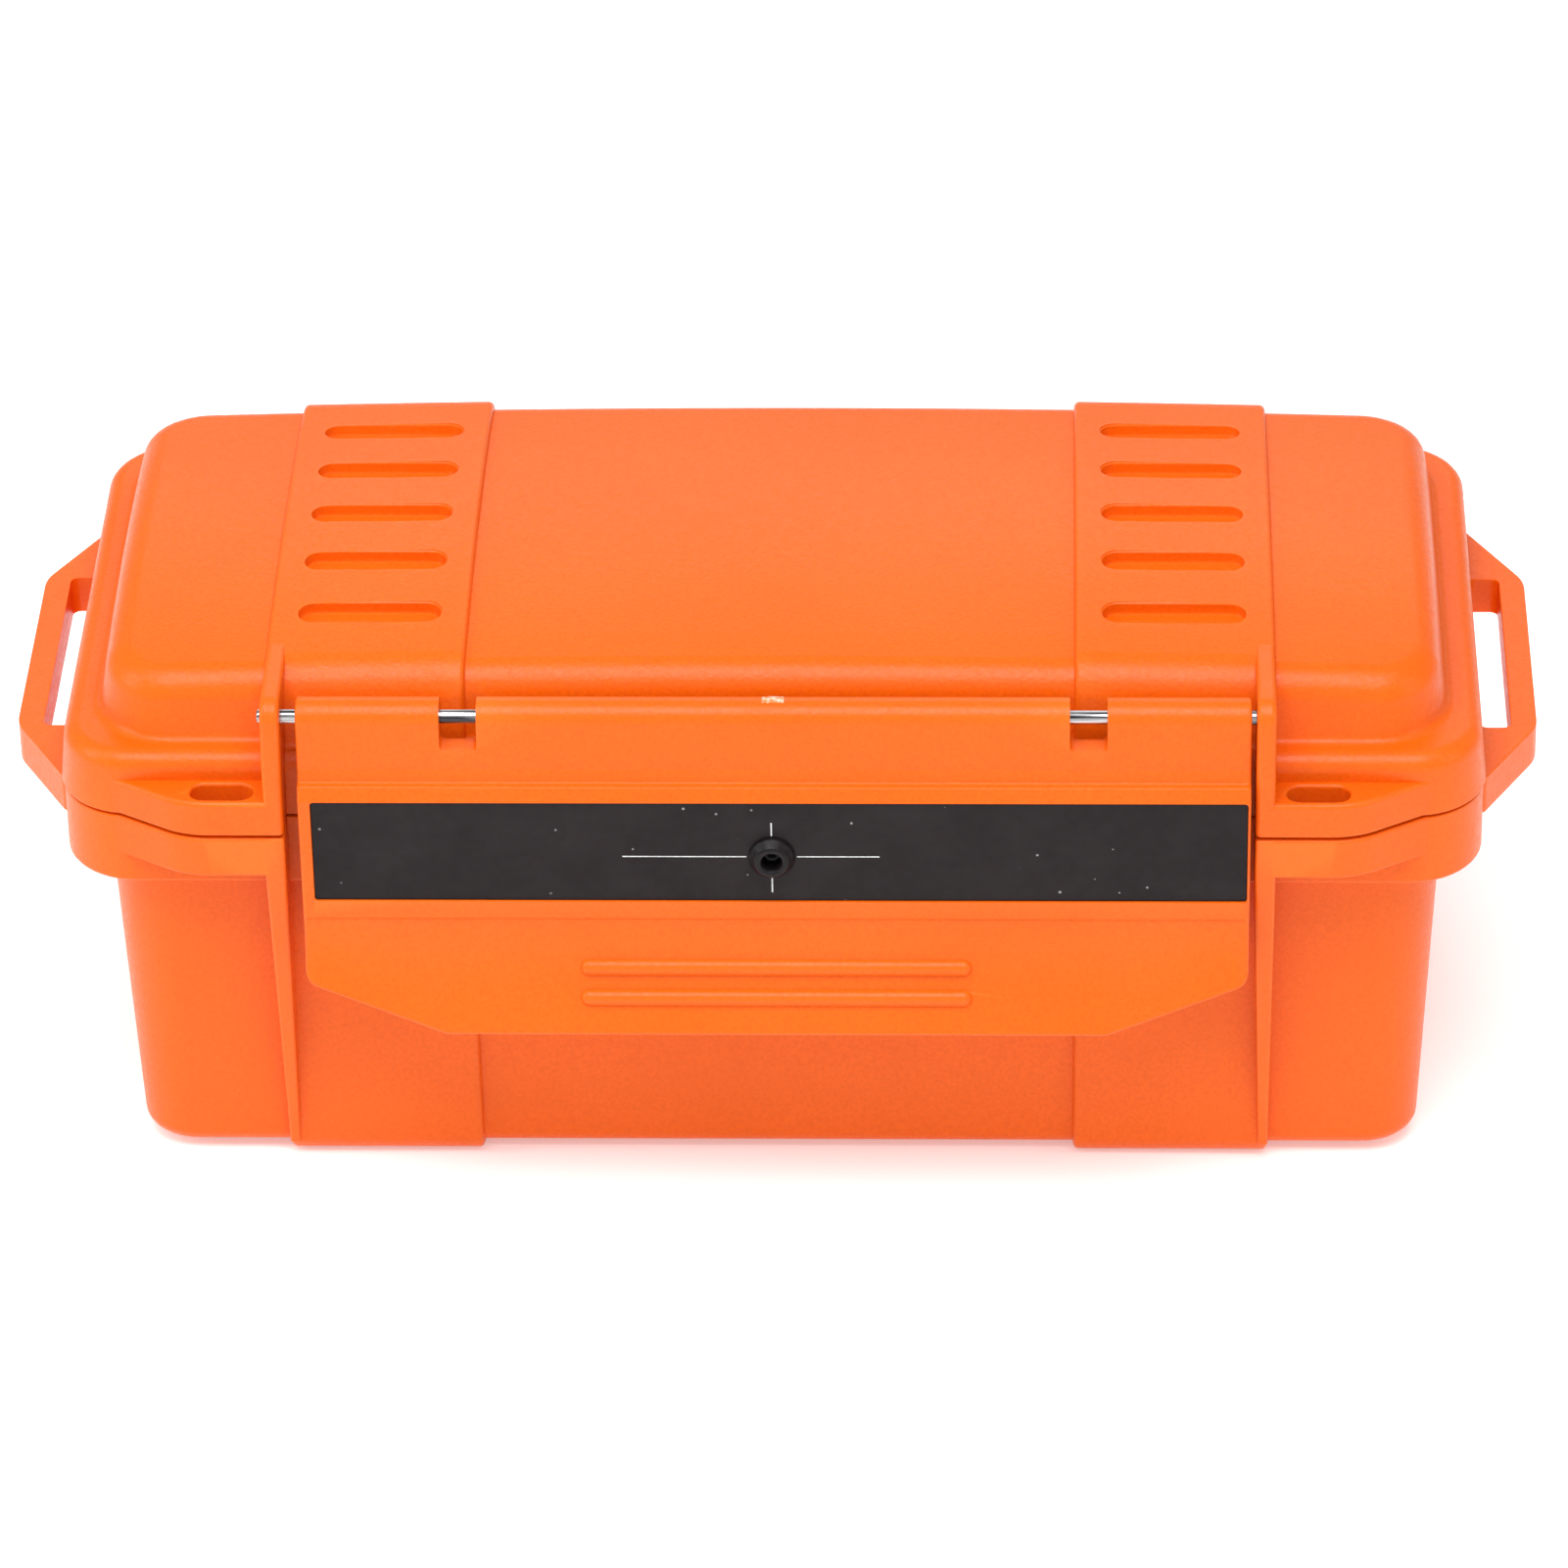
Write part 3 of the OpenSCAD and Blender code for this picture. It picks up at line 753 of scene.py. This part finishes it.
def egg_crate():
    """The lid's foam: flat above, where it is glued, and waved below."""
    low, high = node_box("lid_pad")
    x_mid, half = middle("lid_pad")[0], half_size("lid_pad")
    nx, ny = 160, 60
    wave, pitch, rim = 1.3, 14.0, 2.2

    def point(k, i, j):
        u, v = 2 * i / nx - 1, 2 * j / ny - 1
        x, y = x_mid + u * half[0], v * half[1]
        flat = min(1, max(0.0, abs(u) ** 30 + abs(v) ** 16 - 0.3))
        dip = wave * (1 + math.cos(2 * math.pi * x / pitch) * math.cos(2 * math.pi * y / pitch))
        return x, y, high[2] if k else low[2] + dip * (1 - flat) + rim * flat
    return two_layers("pad", nx, ny, point)


def spiral_length(core, radius, pitch):
    return math.pi * (core + radius) * (radius - core) / pitch


def wound_roll(name, node, core, pitch, thick, ragged, seed):
    """A bandage wound on itself: one ribbon along a spiral, with slightly uneven edges."""
    low, high = node_box(node)
    x, _, z = middle(node)
    radius, steps = half_size(node)[2], 44
    y0, y1 = low[1] + ragged, high[1] - ragged
    rings = []
    for k in range(int((radius - core) / pitch * steps) + 1):
        a = 2 * math.pi * k / steps
        inner = core + pitch * k / steps - thick
        shift = [ragged * wobble(k * 0.02, seed, at) for at in (0, 5)]
        puff = 0.12 * pitch * wobble(k * 0.11, seed, 9)
        ribbon = [(inner, y0 + 0.5), (inner + thick * 0.5, y0), (inner + thick, y0 + 0.5),
                  (inner + thick, y1 - 0.5), (inner + thick * 0.5, y1), (inner, y1 - 0.5)]
        rings.append([(x + (r + puff) * math.cos(a), y + shift[i // 3], z + (r + puff) * math.sin(a))
                      for i, (r, y) in enumerate(ribbon)])
    return loft(name, rings)


def pouch(name, low, high, crimp, fill, bumps, seed, nx, ny):
    """A sealed flat pouch: a puffed middle, creased a little, inside thin crimped seams."""
    centre, size = (high + low) / 2, (high - low) / 2

    def point(layer, i, j):
        k = 1 - 2 * layer
        u, v = math.sin(math.pi / 2 * (2 * i / nx - 1)), math.sin(math.pi / 2 * (2 * j / ny - 1))
        x, y = centre[0] + u * size[0], centre[1] + v * size[1]
        inside = min(1 - abs(u), (1 - abs(v)) * size[1] / size[0]) * size[0]
        swell = 0.0
        if inside > crimp:
            a = min(1.0, (inside - crimp) / (0.25 * min(size[:2])))
            swell = math.sqrt(1 - (1 - a) ** 2) ** (6 / fill)
        crease = bumps * wobble(x * 0.09, y * 0.09, seed + k) * swell
        crease += bumps * 0.4 * wobble(x * 0.3, y * 0.22, seed + 7 + k) * swell
        ribs = 0.08 * math.sin((x + y) * 4.0) if inside < crimp else 0.0
        return x, y, centre[2] + k * (0.15 + (size[2] - 0.2 - bumps) * swell + crease) + ribs
    return two_layers(name, nx, ny, point)


def stack(name, node, count, crimp, fill, bumps, slip, nx=46, ny=46):
    """Pouches lying one on another inside a node's box, each slipped a little."""
    low, high = node_box(node)
    each = (high[2] - low[2]) / count
    made = []
    for k in range(count):
        dx, dy = slip * wobble(k * 3.1, 1, 0), slip * wobble(k * 2.3, 9, 0)
        a = np.array([low[0] + slip + dx, low[1] + slip + dy, low[2] + k * each])
        b = np.array([high[0] - slip + dx, high[1] - slip + dy, low[2] + (k + 1) * each - 0.05])
        made.append(pouch(f"{name}_{k + 1}", a, b, crimp, fill, bumps, 11 * k, nx, ny))
    return made


def folded_wad(name, node, folds, depth, rumple, seed):
    """A cloth folded flat many times: rounded folds along both sides, loosely stacked."""
    low, high = node_box(node)
    x_mid, y_mid, z_mid = middle(node)
    x_half, y_half, z_half = half_size(node) - [1, 0, 0.4]
    layers = [low[2] + 0.4 + 2 * z_half * (k + 0.5) / folds for k in range(folds)]
    half = z_half / folds
    outline = []
    for side, order in ((1, layers), (-1, layers[::-1])):
        for k, z in enumerate(order):
            reach = y_half - 0.6 - depth * (0.5 + 0.5 * math.sin(5 * k + seed + side))
            for a in quarter(6, -78 * side, 78 * side):
                outline.append((y_mid + side * (reach - half + half * math.cos(a)), z + half * math.sin(a)))
        flat = high[2] - 0.4 if side > 0 else low[2] + 0.4
        outline += [(y_mid + side * y_half * (0.7 - 0.2 * k), flat) for k in range(8)]
    rings, steps = [], 70
    for i in range(steps + 1):
        u = math.sin(math.pi / 2 * (2 * i / steps - 1))
        x = x_mid + u * x_half
        pinch = 1 - 0.08 * abs(u) ** 14
        ring = []
        for y, z in outline:
            dx = 1.1 * u ** 5 * wobble(y * 0.2, z * 0.8, seed + 50)
            dy = rumple * wobble(x * 0.06, y * 0.1, z * 0.35 + seed)
            dz = 0.35 * rumple * wobble(x * 0.09, y * 0.12, seed + 30)
            ring.append((x + dx * 0.8, y_mid + (y - y_mid) * pinch + dy * 0.8,
                         z_mid + (z - z_mid) * pinch + dz))
        rings.append(ring)
    return loft(name, rings)


def carton():
    """A tuck-end card carton with its front flap and thumb notch."""
    low, high = node_box("plaster_box")
    inset = 0.35
    box = rounded_slab("carton", low + inset, high - [inset, inset, 0.8], 0.4, 0.35, 2)
    flap = rounded_slab("flap", [low[0] + inset, low[1] + 0.02, high[2] - 1.3],
                        [high[0] - inset, high[1] - inset, high[2] - 0.4], 0.5, 0.25, 2)
    front = rounded_slab("front", [low[0] + 1.5, low[1] + 0.02, high[2] - 9],
                         [high[0] - 1.5, low[1] + 0.5, high[2] - 0.8], 0.15, 0.1, 2)
    thumb = (middle("plaster_box")[0], 0, high[2] - 10.5)
    add(box, flap, front)
    return cut(box, bore("y", thumb, 5, low[1] - 1, low[1] + 0.36))


def tape_roll():
    """White zinc-oxide tape, with its fine turns on both flanks."""
    low, high = node_box("tape_roll")
    core, r, turns = 15.05, half_size("tape_roll")[0], 14
    flank = [(core, 0.2)]
    for k in range(turns + 1):
        at = core + (r - core) * k / turns
        flank += [(at - 0.12, 0.02), (at + 0.02, 0.22), (at + 0.12, 0.02)]
    flank = [p for p in flank if core <= p[0] <= r - 0.1] + [(r - 0.15, 0.1), (r, 0.35)]
    profile = [(a, low[2] + b) for a, b in flank] + [(a, high[2] - b) for a, b in reversed(flank)]
    return lathe("tape", profile, "z", middle("tape_roll"), 96)


def tape_spool():
    """The reel: a thin drum with a raised flange on top."""
    low, high = node_box("tape_spool")
    r, foot, top = half_size("tape_spool")[0], low[2], high[2]
    profile = [(13.6, foot + 0.3), (13.9, foot), (14.7, foot), (15, foot + 0.3), (15, top - 1.0),
               (r - 0.3, top - 1.0), (r, top - 0.75), (r, top - 0.25), (r - 0.3, top), (r - 1.2, top),
               (r - 1.5, top - 0.25), (15.4, top - 0.25), (15.1, top), (13.9, top), (13.6, top - 0.3)]
    return lathe("spool", profile, "z", middle("tape_spool"), 96)


def tweezers():
    """Two sprung arms joined at the tail, tapering to points, with ribbed finger pads."""
    start = node_box("tweezers")[0][0]
    (_, mid_y, mid_z), half = middle("tweezers"), half_size("tweezers")
    corners = [(-0.5, -0.85), (-0.3, -1), (0.3, -1), (0.5, -0.85), (0.5, 0.85), (0.3, 1), (-0.3, 1),
               (-0.5, 0.85)]
    steps, narrow, arms = 60, 0.42, []
    wide = half[1] - 0.55
    for side in (1, -1):
        rings = []
        for k in range(steps + 1):
            u = k / steps
            y = side * (narrow + (wide - narrow) * math.sin(math.pi * min(1, u * 0.93)) ** 0.9)
            rib = 0.12 * max(0, math.sin(u * 140)) if 0.42 < u < 0.68 else 0
            taper = 1 - 0.06 * u if u < 0.62 else 0.96 - 0.8 * ((u - 0.62) / 0.38) ** 1.1
            rings.append([(start + 2 * u * half[0], mid_y + y + dy + (rib * side if dy * side > 0 else 0),
                           mid_z + dz * half[2] * taper) for dy, dz in corners])
        arms.append(loft("arm", rings))
    return add(*arms)


# ---------------------------------------------------------------- materials
class Finish:
    """A node material: plain values on the shader, patterns linked into it."""

    def __init__(self, name, color, roughness, metallic=0.0, **plain):
        self.material = bpy.data.materials.new(name)
        self.material.use_nodes = True
        self.material.diffuse_color = (*color, 1)
        self.nodes, self.links = self.material.node_tree.nodes, self.material.node_tree.links
        self.shader = self.nodes["Principled BSDF"]
        plain.update(Base_Color=(*color, 1), Roughness=roughness, Metallic=metallic)
        for socket, value in plain.items():
            self.shader.inputs[socket.replace("_", " ")].default_value = value
        self.coords = self.nodes.new("ShaderNodeTexCoord").outputs["Object"]
        self.height = None

    def node(self, kind, **inputs):
        """A new node, with each input set to a number or linked from a socket."""
        node = self.nodes.new("ShaderNode" + kind)
        for name, value in inputs.items():
            self.feed(node.inputs[name], value)
        return node

    def feed(self, socket, value):
        if isinstance(value, bpy.types.NodeSocket):
            self.links.new(value, socket)
        else:
            socket.default_value = value

    def noise(self, scale, detail=2.0, stretch=(1, 1, 1)):
        stretched = self.node("Mapping", Vector=self.coords, Scale=stretch).outputs["Vector"]
        return self.node("TexNoise", Vector=stretched, Scale=scale, Detail=detail).outputs["Fac"]

    def cells(self, scale):
        return self.node("TexVoronoi", Vector=self.coords, Scale=scale).outputs["Distance"]

    def waves(self, scale, direction, distortion=0.0):
        node = self.node("TexWave", Vector=self.coords, Scale=scale, Distortion=distortion)
        node.bands_direction = direction
        return node.outputs["Fac"]

    def math(self, operation, a, b):
        node = self.node("Math")
        node.operation = operation
        self.feed(node.inputs[0], a)
        self.feed(node.inputs[1], b)
        return node.outputs["Value"]

    def remap(self, fac, low, high, to_low=0.0, to_high=1.0):
        node = self.node("MapRange", Value=fac)
        for socket, value in zip(node.inputs[1:5], (low, high, to_low, to_high)):
            socket.default_value = value
        return node.outputs["Result"]

    def paint(self, fac, color_a, color_b):
        """Base colour runs from color_a, a colour or a socket, to color_b as fac goes from 0 to 1."""
        node = self.node("Mix")
        node.data_type = "RGBA"
        self.links.new(fac, node.inputs[0])
        self.feed(node.inputs[6], (*color_a, 1) if isinstance(color_a, tuple) else color_a)
        self.feed(node.inputs[7], (*color_b, 1))
        self.links.new(node.outputs[2], self.shader.inputs["Base Color"])
        return node.outputs[2]

    def mottle(self, scale, detail, low, high, color_a, color_b):
        """Base colour drifts between two colours in soft patches."""
        return self.paint(self.remap(self.noise(scale, detail), low, high), color_a, color_b)

    def roughen(self, fac, low, high):
        self.links.new(self.remap(fac, 0.3, 0.7, low, high), self.shader.inputs["Roughness"])

    def bump(self, fac, depth_mm):
        """Relief of the given depth; each call adds to the ones before it."""
        node = self.node("Bump", Distance=depth_mm / 1000, Height=fac)
        if self.height:
            self.links.new(self.height, node.inputs["Normal"])
        self.height = node.outputs["Normal"]
        self.links.new(self.height, self.shader.inputs["Normal"])

    def edges(self):
        """A mask for the painted highlight on outer edges: 1 on a convex edge, 0 on a flat."""
        return self.remap(self.node("NewGeometry").outputs["Pointiness"], 0.52, 0.60)


def orange_plastic():
    """Moulded plastic with a fine speckle, and a painted highlight that makes its convex edges paler."""
    f = Finish("orange_plastic", (0.79, 0.115, 0.003), 0.36, Specular_IOR_Level=0.23)
    color = f.mottle(26, 3, 0.35, 0.65, (0.77, 0.113, 0.002), (0.81, 0.121, 0.004))
    speckle = f.math("MULTIPLY", f.remap(f.noise(1500), 0.38, 0.68), 0.5)
    color = f.paint(speckle, color, (0.68, 0.088, 0.001))
    # painted highlight: convex edges are mixed towards a paler orange
    f.paint(f.math("MULTIPLY", f.edges(), 0.35), color, (0.84, 0.19, 0.02))
    f.roughen(f.noise(900), 0.28, 0.42)
    f.bump(f.noise(1500), 0.06)
    f.bump(f.noise(120), 0.05)
    return f.material


def torn_plastic():
    """Orange plastic whitened by tearing."""
    f = Finish("torn_plastic", (0.72, 0.40, 0.22), 0.6)
    f.mottle(1300, 2, 0.42, 0.62, (0.66, 0.20, 0.05), (0.80, 0.58, 0.44))
    f.bump(f.noise(2200), 0.1)
    return f.material


def steel():
    """Bright steel with fine brushing along the pin, and painted reflections: dark and bright streaks in
    its colour along the pin.
    """
    f = Finish("steel_pin", (0.46, 0.46, 0.48), 0.22, 1.0)
    grain_and_painted_reflection = f.noise(1100, 2, (0.04, 1, 1))
    # painted reflection: the colour runs from near black to bright in streaks along the pin; the same noise
    # gives brushing grain to roughness and bump
    f.paint(f.remap(grain_and_painted_reflection, 0.4, 0.62), (0.05, 0.05, 0.055), (0.66, 0.66, 0.67))
    f.roughen(grain_and_painted_reflection, 0.14, 0.30)
    f.bump(grain_and_painted_reflection, 0.02)
    return f.material


def rubber():
    f = Finish("black_rubber", (0.018, 0.018, 0.019), 0.62)
    f.mottle(300, 3, 0.4, 0.7, (0.014, 0.014, 0.015), (0.032, 0.032, 0.034))
    f.roughen(f.noise(700), 0.52, 0.72)
    f.bump(f.noise(1600, 3), 0.03)
    return f.material


def label_black():
    """A matt black face with a faint haze and pale specks where it is worn."""
    f = Finish("label_black", (0.010, 0.007, 0.008), 0.5, Specular_IOR_Level=0.17)
    haze = f.mottle(90, 4, 0.4, 0.7, (0.010, 0.0068, 0.0076), (0.014, 0.0100, 0.0110))
    specks, worn = f.remap(f.cells(240), 0.07, 0.05), f.remap(f.noise(60), 0.45, 0.6)
    f.paint(f.math("MULTIPLY", specks, worn), haze, (0.26, 0.26, 0.26))
    f.roughen(f.noise(500), 0.42, 0.58)
    f.bump(f.noise(1500), 0.015)
    return f.material


def valve_black():
    f = Finish("valve_black", (0.006, 0.004, 0.005), 0.4, Specular_IOR_Level=0.2)
    f.mottle(400, 3, 0.35, 0.7, (0.004, 0.003, 0.0035), (0.009, 0.0065, 0.0075))
    f.roughen(f.noise(900), 0.32, 0.48)
    f.bump(f.noise(2200), 0.02)
    return f.material


def print_white():
    f = Finish("label_print", (0.64, 0.66, 0.66), 0.5)
    f.mottle(1800, 2, 0.4, 0.6, (0.52, 0.54, 0.54), (0.70, 0.72, 0.72))
    f.roughen(f.noise(900, 1), 0.45, 0.6)
    return f.material


def foam():
    """Open-cell foam with dark pores."""
    f = Finish("foam_grey", (0.055, 0.058, 0.062), 0.95)
    pores = f.cells(1500)
    f.paint(f.remap(pores, 0.1, 0.6), (0.022, 0.023, 0.025), (0.085, 0.088, 0.094))
    f.bump(pores, 0.35)
    f.bump(f.noise(500, 3), 0.2)
    return f.material


def cloth(name, dark, light, scale, axes, depth):
    """A plain weave: two sets of threads that cross, with slubs and loose fibre."""
    f = Finish(name, light, 0.9, Sheen_Weight=0.25, Sheen_Roughness=0.6)
    threads = f.math("MULTIPLY", f.waves(scale, axes[0], 1.2), f.waves(scale * 0.92, axes[1], 1.2))
    f.paint(f.remap(f.math("ADD", threads, f.noise(260, 3)), 0.25, 1.1), dark, light)
    f.bump(threads, depth)
    f.bump(f.noise(420, 3), depth * 0.8)
    return f.material


def crepe():
    """Stretch bandage: ribs along its length, crinkled by the elastic threads."""
    f = Finish("elastic_crepe", (0.74, 0.52, 0.34), 0.92, Sheen_Weight=0.3, Sheen_Roughness=0.6)
    ribs = f.waves(420, "Y", 3.5)
    crinkle = f.noise(700, 3, (1, 0.25, 1))
    f.paint(f.math("MULTIPLY", ribs, crinkle), (0.38, 0.24, 0.14), (0.68, 0.52, 0.37))
    f.bump(ribs, 0.25)
    f.bump(crinkle, 0.3)
    return f.material


def paper_pack():
    """White peel pack with a plain green band across its middle."""
    f = Finish("paper_pack", (0.82, 0.83, 0.82), 0.55)
    fibre = f.mottle(500, 4, 0.35, 0.7, (0.60, 0.62, 0.62), (0.70, 0.71, 0.70))
    f.paint(f.remap(f.waves(11, "Y"), 0.80, 0.82), fibre, (0.05, 0.26, 0.16))
    f.roughen(f.noise(300), 0.42, 0.62)
    f.bump(f.noise(160, 3), 0.15)
    return f.material


def card():
    """Green carton board with plain pale bands."""
    f = Finish("card", (0.10, 0.36, 0.26), 0.6)
    fibre = f.mottle(800, 4, 0.35, 0.7, (0.055, 0.24, 0.17), (0.085, 0.31, 0.22))
    f.paint(f.remap(f.waves(14, "X"), 0.93, 0.95), fibre, (0.66, 0.66, 0.63))
    f.roughen(f.noise(400), 0.48, 0.66)
    f.bump(f.noise(900, 3), 0.05)
    return f.material


def sachet_foil():
    """Silvery foil laminate with plain blue bands."""
    f = Finish("sachet_foil", (0.70, 0.78, 0.84), 0.32, 0.35)
    tone = f.mottle(140, 3, 0.35, 0.7, (0.48, 0.58, 0.66), (0.64, 0.69, 0.72))
    f.paint(f.remap(f.waves(16, "X"), 0.88, 0.90), tone, (0.05, 0.20, 0.45))
    f.roughen(f.noise(260), 0.22, 0.42)
    f.bump(f.noise(300, 3), 0.2)
    return f.material


def gold_foil():
    """Crumpled metallised film."""
    f = Finish("foil", (0.86, 0.66, 0.30), 0.2, 1.0)
    f.mottle(90, 3, 0.3, 0.7, (0.72, 0.52, 0.20), (0.93, 0.76, 0.42))
    f.roughen(f.noise(220), 0.10, 0.30)
    f.bump(f.cells(170), 1.0)
    f.bump(f.noise(420, 3), 0.25)
    return f.material


def tape_white():
    """Fine woven cloth tape."""
    f = Finish("tape_white", (0.82, 0.81, 0.78), 0.75)
    weave = f.math("MULTIPLY", f.waves(900, "X", 0.6), f.waves(900, "Y", 0.6))
    threads = f.remap(f.math("ADD", weave, f.noise(200, 3)), 0.3, 1.2)
    f.paint(threads, (0.56, 0.55, 0.52), (0.70, 0.69, 0.67))
    f.bump(weave, 0.06)
    return f.material


def spool_plastic():
    f = Finish("spool_plastic", (0.72, 0.73, 0.72), 0.4)
    f.mottle(60, 2, 0.3, 0.7, (0.55, 0.56, 0.56), (0.64, 0.65, 0.64))
    f.roughen(f.noise(700), 0.32, 0.46)
    f.bump(f.noise(1500), 0.02)
    return f.material


# ---------------------------------------------------------------- putting it together
def place(obj, name, body, slot, material, replaces=None, sharp=32):
    """Names a piece, gives it its finish and lets it ride on its body."""
    obj.name = name
    obj.data.name = name
    obj.data.materials.clear()
    obj.data.materials.append(material)
    soften(obj, sharp)
    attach(obj, body)
    if replaces:
        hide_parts(replaces)
    return obj


def build_case():
    plastic, metal, black = orange_plastic(), steel(), rubber()
    place(base_shell(), "case_tub", "base", "orange_plastic", plastic, "base_shell")
    place(lid_shell(), "case_lid", "lid", "orange_plastic", plastic, "lid_shell")
    place(latch_panel(), "latch_flap", "latch", "orange_plastic", plastic, "latch_panel")
    place(gate_scar(), "gate_scar", "latch", "orange_plastic", torn_plastic())
    place(steel_pin("hinge_pin", HINGE), "hinge_rod", "base", "steel_pin", metal, "hinge_pin")
    place(steel_pin("latch_pin", LATCH_AXIS), "latch_rod", "lid", "steel_pin", metal, "latch_pin")
    place(gasket(), "lid_seal", "lid", "black_rubber", black, "lid_gasket")
    place(label_plate(), "label_plate", "latch", "label_black", label_black(), "latch_label")
    place(label_print(), "label_lines", "latch", "label_black", print_white())
    valve = valve_black()
    place(valve_bezel(), "plug_bezel", "latch", "valve_black", valve, "valve_bezel")
    place(valve_plug(), "pressure_plug", "latch", "black_rubber", black, "valve_plug")
    place(valve_nut(), "plug_nut", "latch", "steel_pin", metal, "valve_nut")


def build_foam():
    grey = foam()
    pad = place(egg_crate(), "lid_foam", "lid", "foam_grey", grey, "lid_pad", 60)
    liner = rounded_slab("liner", *node_box("base_liner"), 8, 0.5)
    place(liner, "floor_foam", "base", "foam_grey", grey, "base_liner")


def build_rolls():
    tan = crepe()
    white = cloth("gauze", (0.50, 0.49, 0.46), (0.72, 0.71, 0.68), 620, ("Y", "DIAGONAL"), 0.18)
    specs = [("crepe_roll", "elastic_bandage", "elastic_crepe", tan, 2.4, 1.15, 0.95, 1.0, 3),
             ("gauze_roll_1", "gauze_roll_lower", "gauze", white, 1.8, 0.75, 0.6, 0.8, 11),
             ("gauze_roll_2", "gauze_roll_upper", "gauze", white, 1.8, 0.75, 0.6, 0.8, 23)]
    for name, node, slot, material, core, pitch, thick, ragged, seed in specs:
        roll = wound_roll(name, node, core, pitch, thick, ragged, seed)
        place(roll, name, "base", slot, material, node, 50)
        _, y_half, radius = half_size(node)
        width, long = 2 * (y_half - ragged), spiral_length(core, radius, pitch)


def build_packs():
    paper, sachets = paper_pack(), sachet_foil()
    for obj in stack("dressing", "dressing_pack", 4, 4, 6, 0.3, 0.4):
        place(obj, obj.name, "base", "paper_pack", paper, "dressing_pack", 50)
    for obj in stack("wipe", "wipe_sachets", 7, 4, 5, 0.12, 0.5, 36, 30):
        place(obj, obj.name, "base", "sachet_foil", sachets, "wipe_sachets", 50)
    place(carton(), "plaster_carton", "base", "card", card(), "plaster_box")
    foil_pack = folded_wad("foil_pack", "foil_blanket", 9, 0.8, 1.0, 3)
    place(foil_pack, "foil_pack", "base", "foil", gold_foil(), "foil_blanket", 35)
    wad = folded_wad("calico_wad", "triangular_bandage", 7, 1.2, 0.9, 17)
    calico = cloth("calico", (0.48, 0.44, 0.34), (0.68, 0.64, 0.55), 700, ("X", "Y"), 0.2)
    place(wad, "calico_wad", "base", "calico", calico, "triangular_bandage", 60)


def build_tools():
    place(tape_roll(), "tape_turns", "base", "tape_white", tape_white(), "tape_roll")
    place(tape_spool(), "tape_reel", "base", "spool_plastic", spool_plastic(), "tape_spool")
    plain_steel = bpy.data.materials["steel_pin"]      # the one that comes with the frame
    place(tweezers(), "steel_tweezers", "base", "steel_pin", plain_steel, "tweezers")


# ---------------------------------------------------------------- camera, light and floor
def camera():
    """The long-lens view from in front and above that the case is shown from."""
    pitch, yaw, roll = (math.radians(a) for a in (33.0, -2.22, -1.11))
    distance, lens = 1471.6, 185.61
    target = Vector((0.43, MID_Y, 49.26))
    ahead = Vector((math.sin(yaw) * math.cos(pitch), math.cos(yaw) * math.cos(pitch), -math.sin(pitch)))
    level = Vector((math.cos(yaw), -math.sin(yaw), 0))
    upright = level.cross(ahead)
    right = math.cos(roll) * level + math.sin(roll) * upright
    up = math.cos(roll) * upright - math.sin(roll) * level
    data = bpy.data.cameras.new("camera")
    data.lens, data.sensor_width = lens, 36.0
    data.clip_start, data.clip_end = 0.05, 20.0
    obj = link("camera", data)
    turn = Matrix((right, up, -ahead)).transposed().to_4x4()
    obj.matrix_world = Matrix.Translation((target - ahead * distance) / 1000) @ turn
    bpy.context.scene.camera = obj


def softbox(name, at, size, watts):
    """A rectangular lamp, in metres, that faces a point near the case's middle."""
    data = bpy.data.lights.new(name, "AREA")
    data.shape, data.size, data.size_y, data.energy = "RECTANGLE", *size, watts
    obj = link(name, data)
    obj.location = at
    aim = Vector((0, 0, 0.06)) - obj.location
    obj.rotation_euler = aim.to_track_quat("-Z", "Y").to_euler()


def floor():
    mesh = bpy.data.meshes.new("floor")
    reach = 6.0
    corners = [(-reach, -reach, 0), (reach, -reach, 0), (reach, reach, 0), (-reach, reach, 0)]
    mesh.from_pydata(corners, [], [(0, 1, 2, 3)])
    glow = dict(Emission_Color=(1, 1, 1, 1), Emission_Strength=0.3)
    f = Finish("floor_white", (0.93, 0.93, 0.93), 0.9, **glow)
    f.mottle(3, 2, 0.3, 0.7, (0.92, 0.92, 0.92), (0.94, 0.94, 0.94))
    mesh.materials.append(f.material)
    link("floor", mesh)


def studio():
    camera()
    floor()
    world = bpy.data.worlds.new("studio")
    bpy.context.scene.world = world
    world.use_nodes = True
    background = world.node_tree.nodes["Background"]
    background.inputs["Color"].default_value = (1, 1, 1, 1)
    background.inputs["Strength"].default_value = 0.5
    softbox("overhead", (-0.05, -0.45, 1.15), (1.1, 0.7), 14.8)
    softbox("low_front", (0, -0.9, 0.3), (0.6, 0.4), 0.4)
    softbox("left", (-0.7, -0.2, 0.45), (0.2, 0.5), 1.7)
    softbox("right", (0.7, -0.3, 0.4), (0.15, 0.5), 0.6)
    softbox("back", (0.1, 1.3, 0.9), (1.2, 0.5), 2.6)
    bpy.context.scene.view_settings.view_transform = "Standard"


studio()
build_case()
build_foam()
build_rolls()
build_packs()
build_tools()
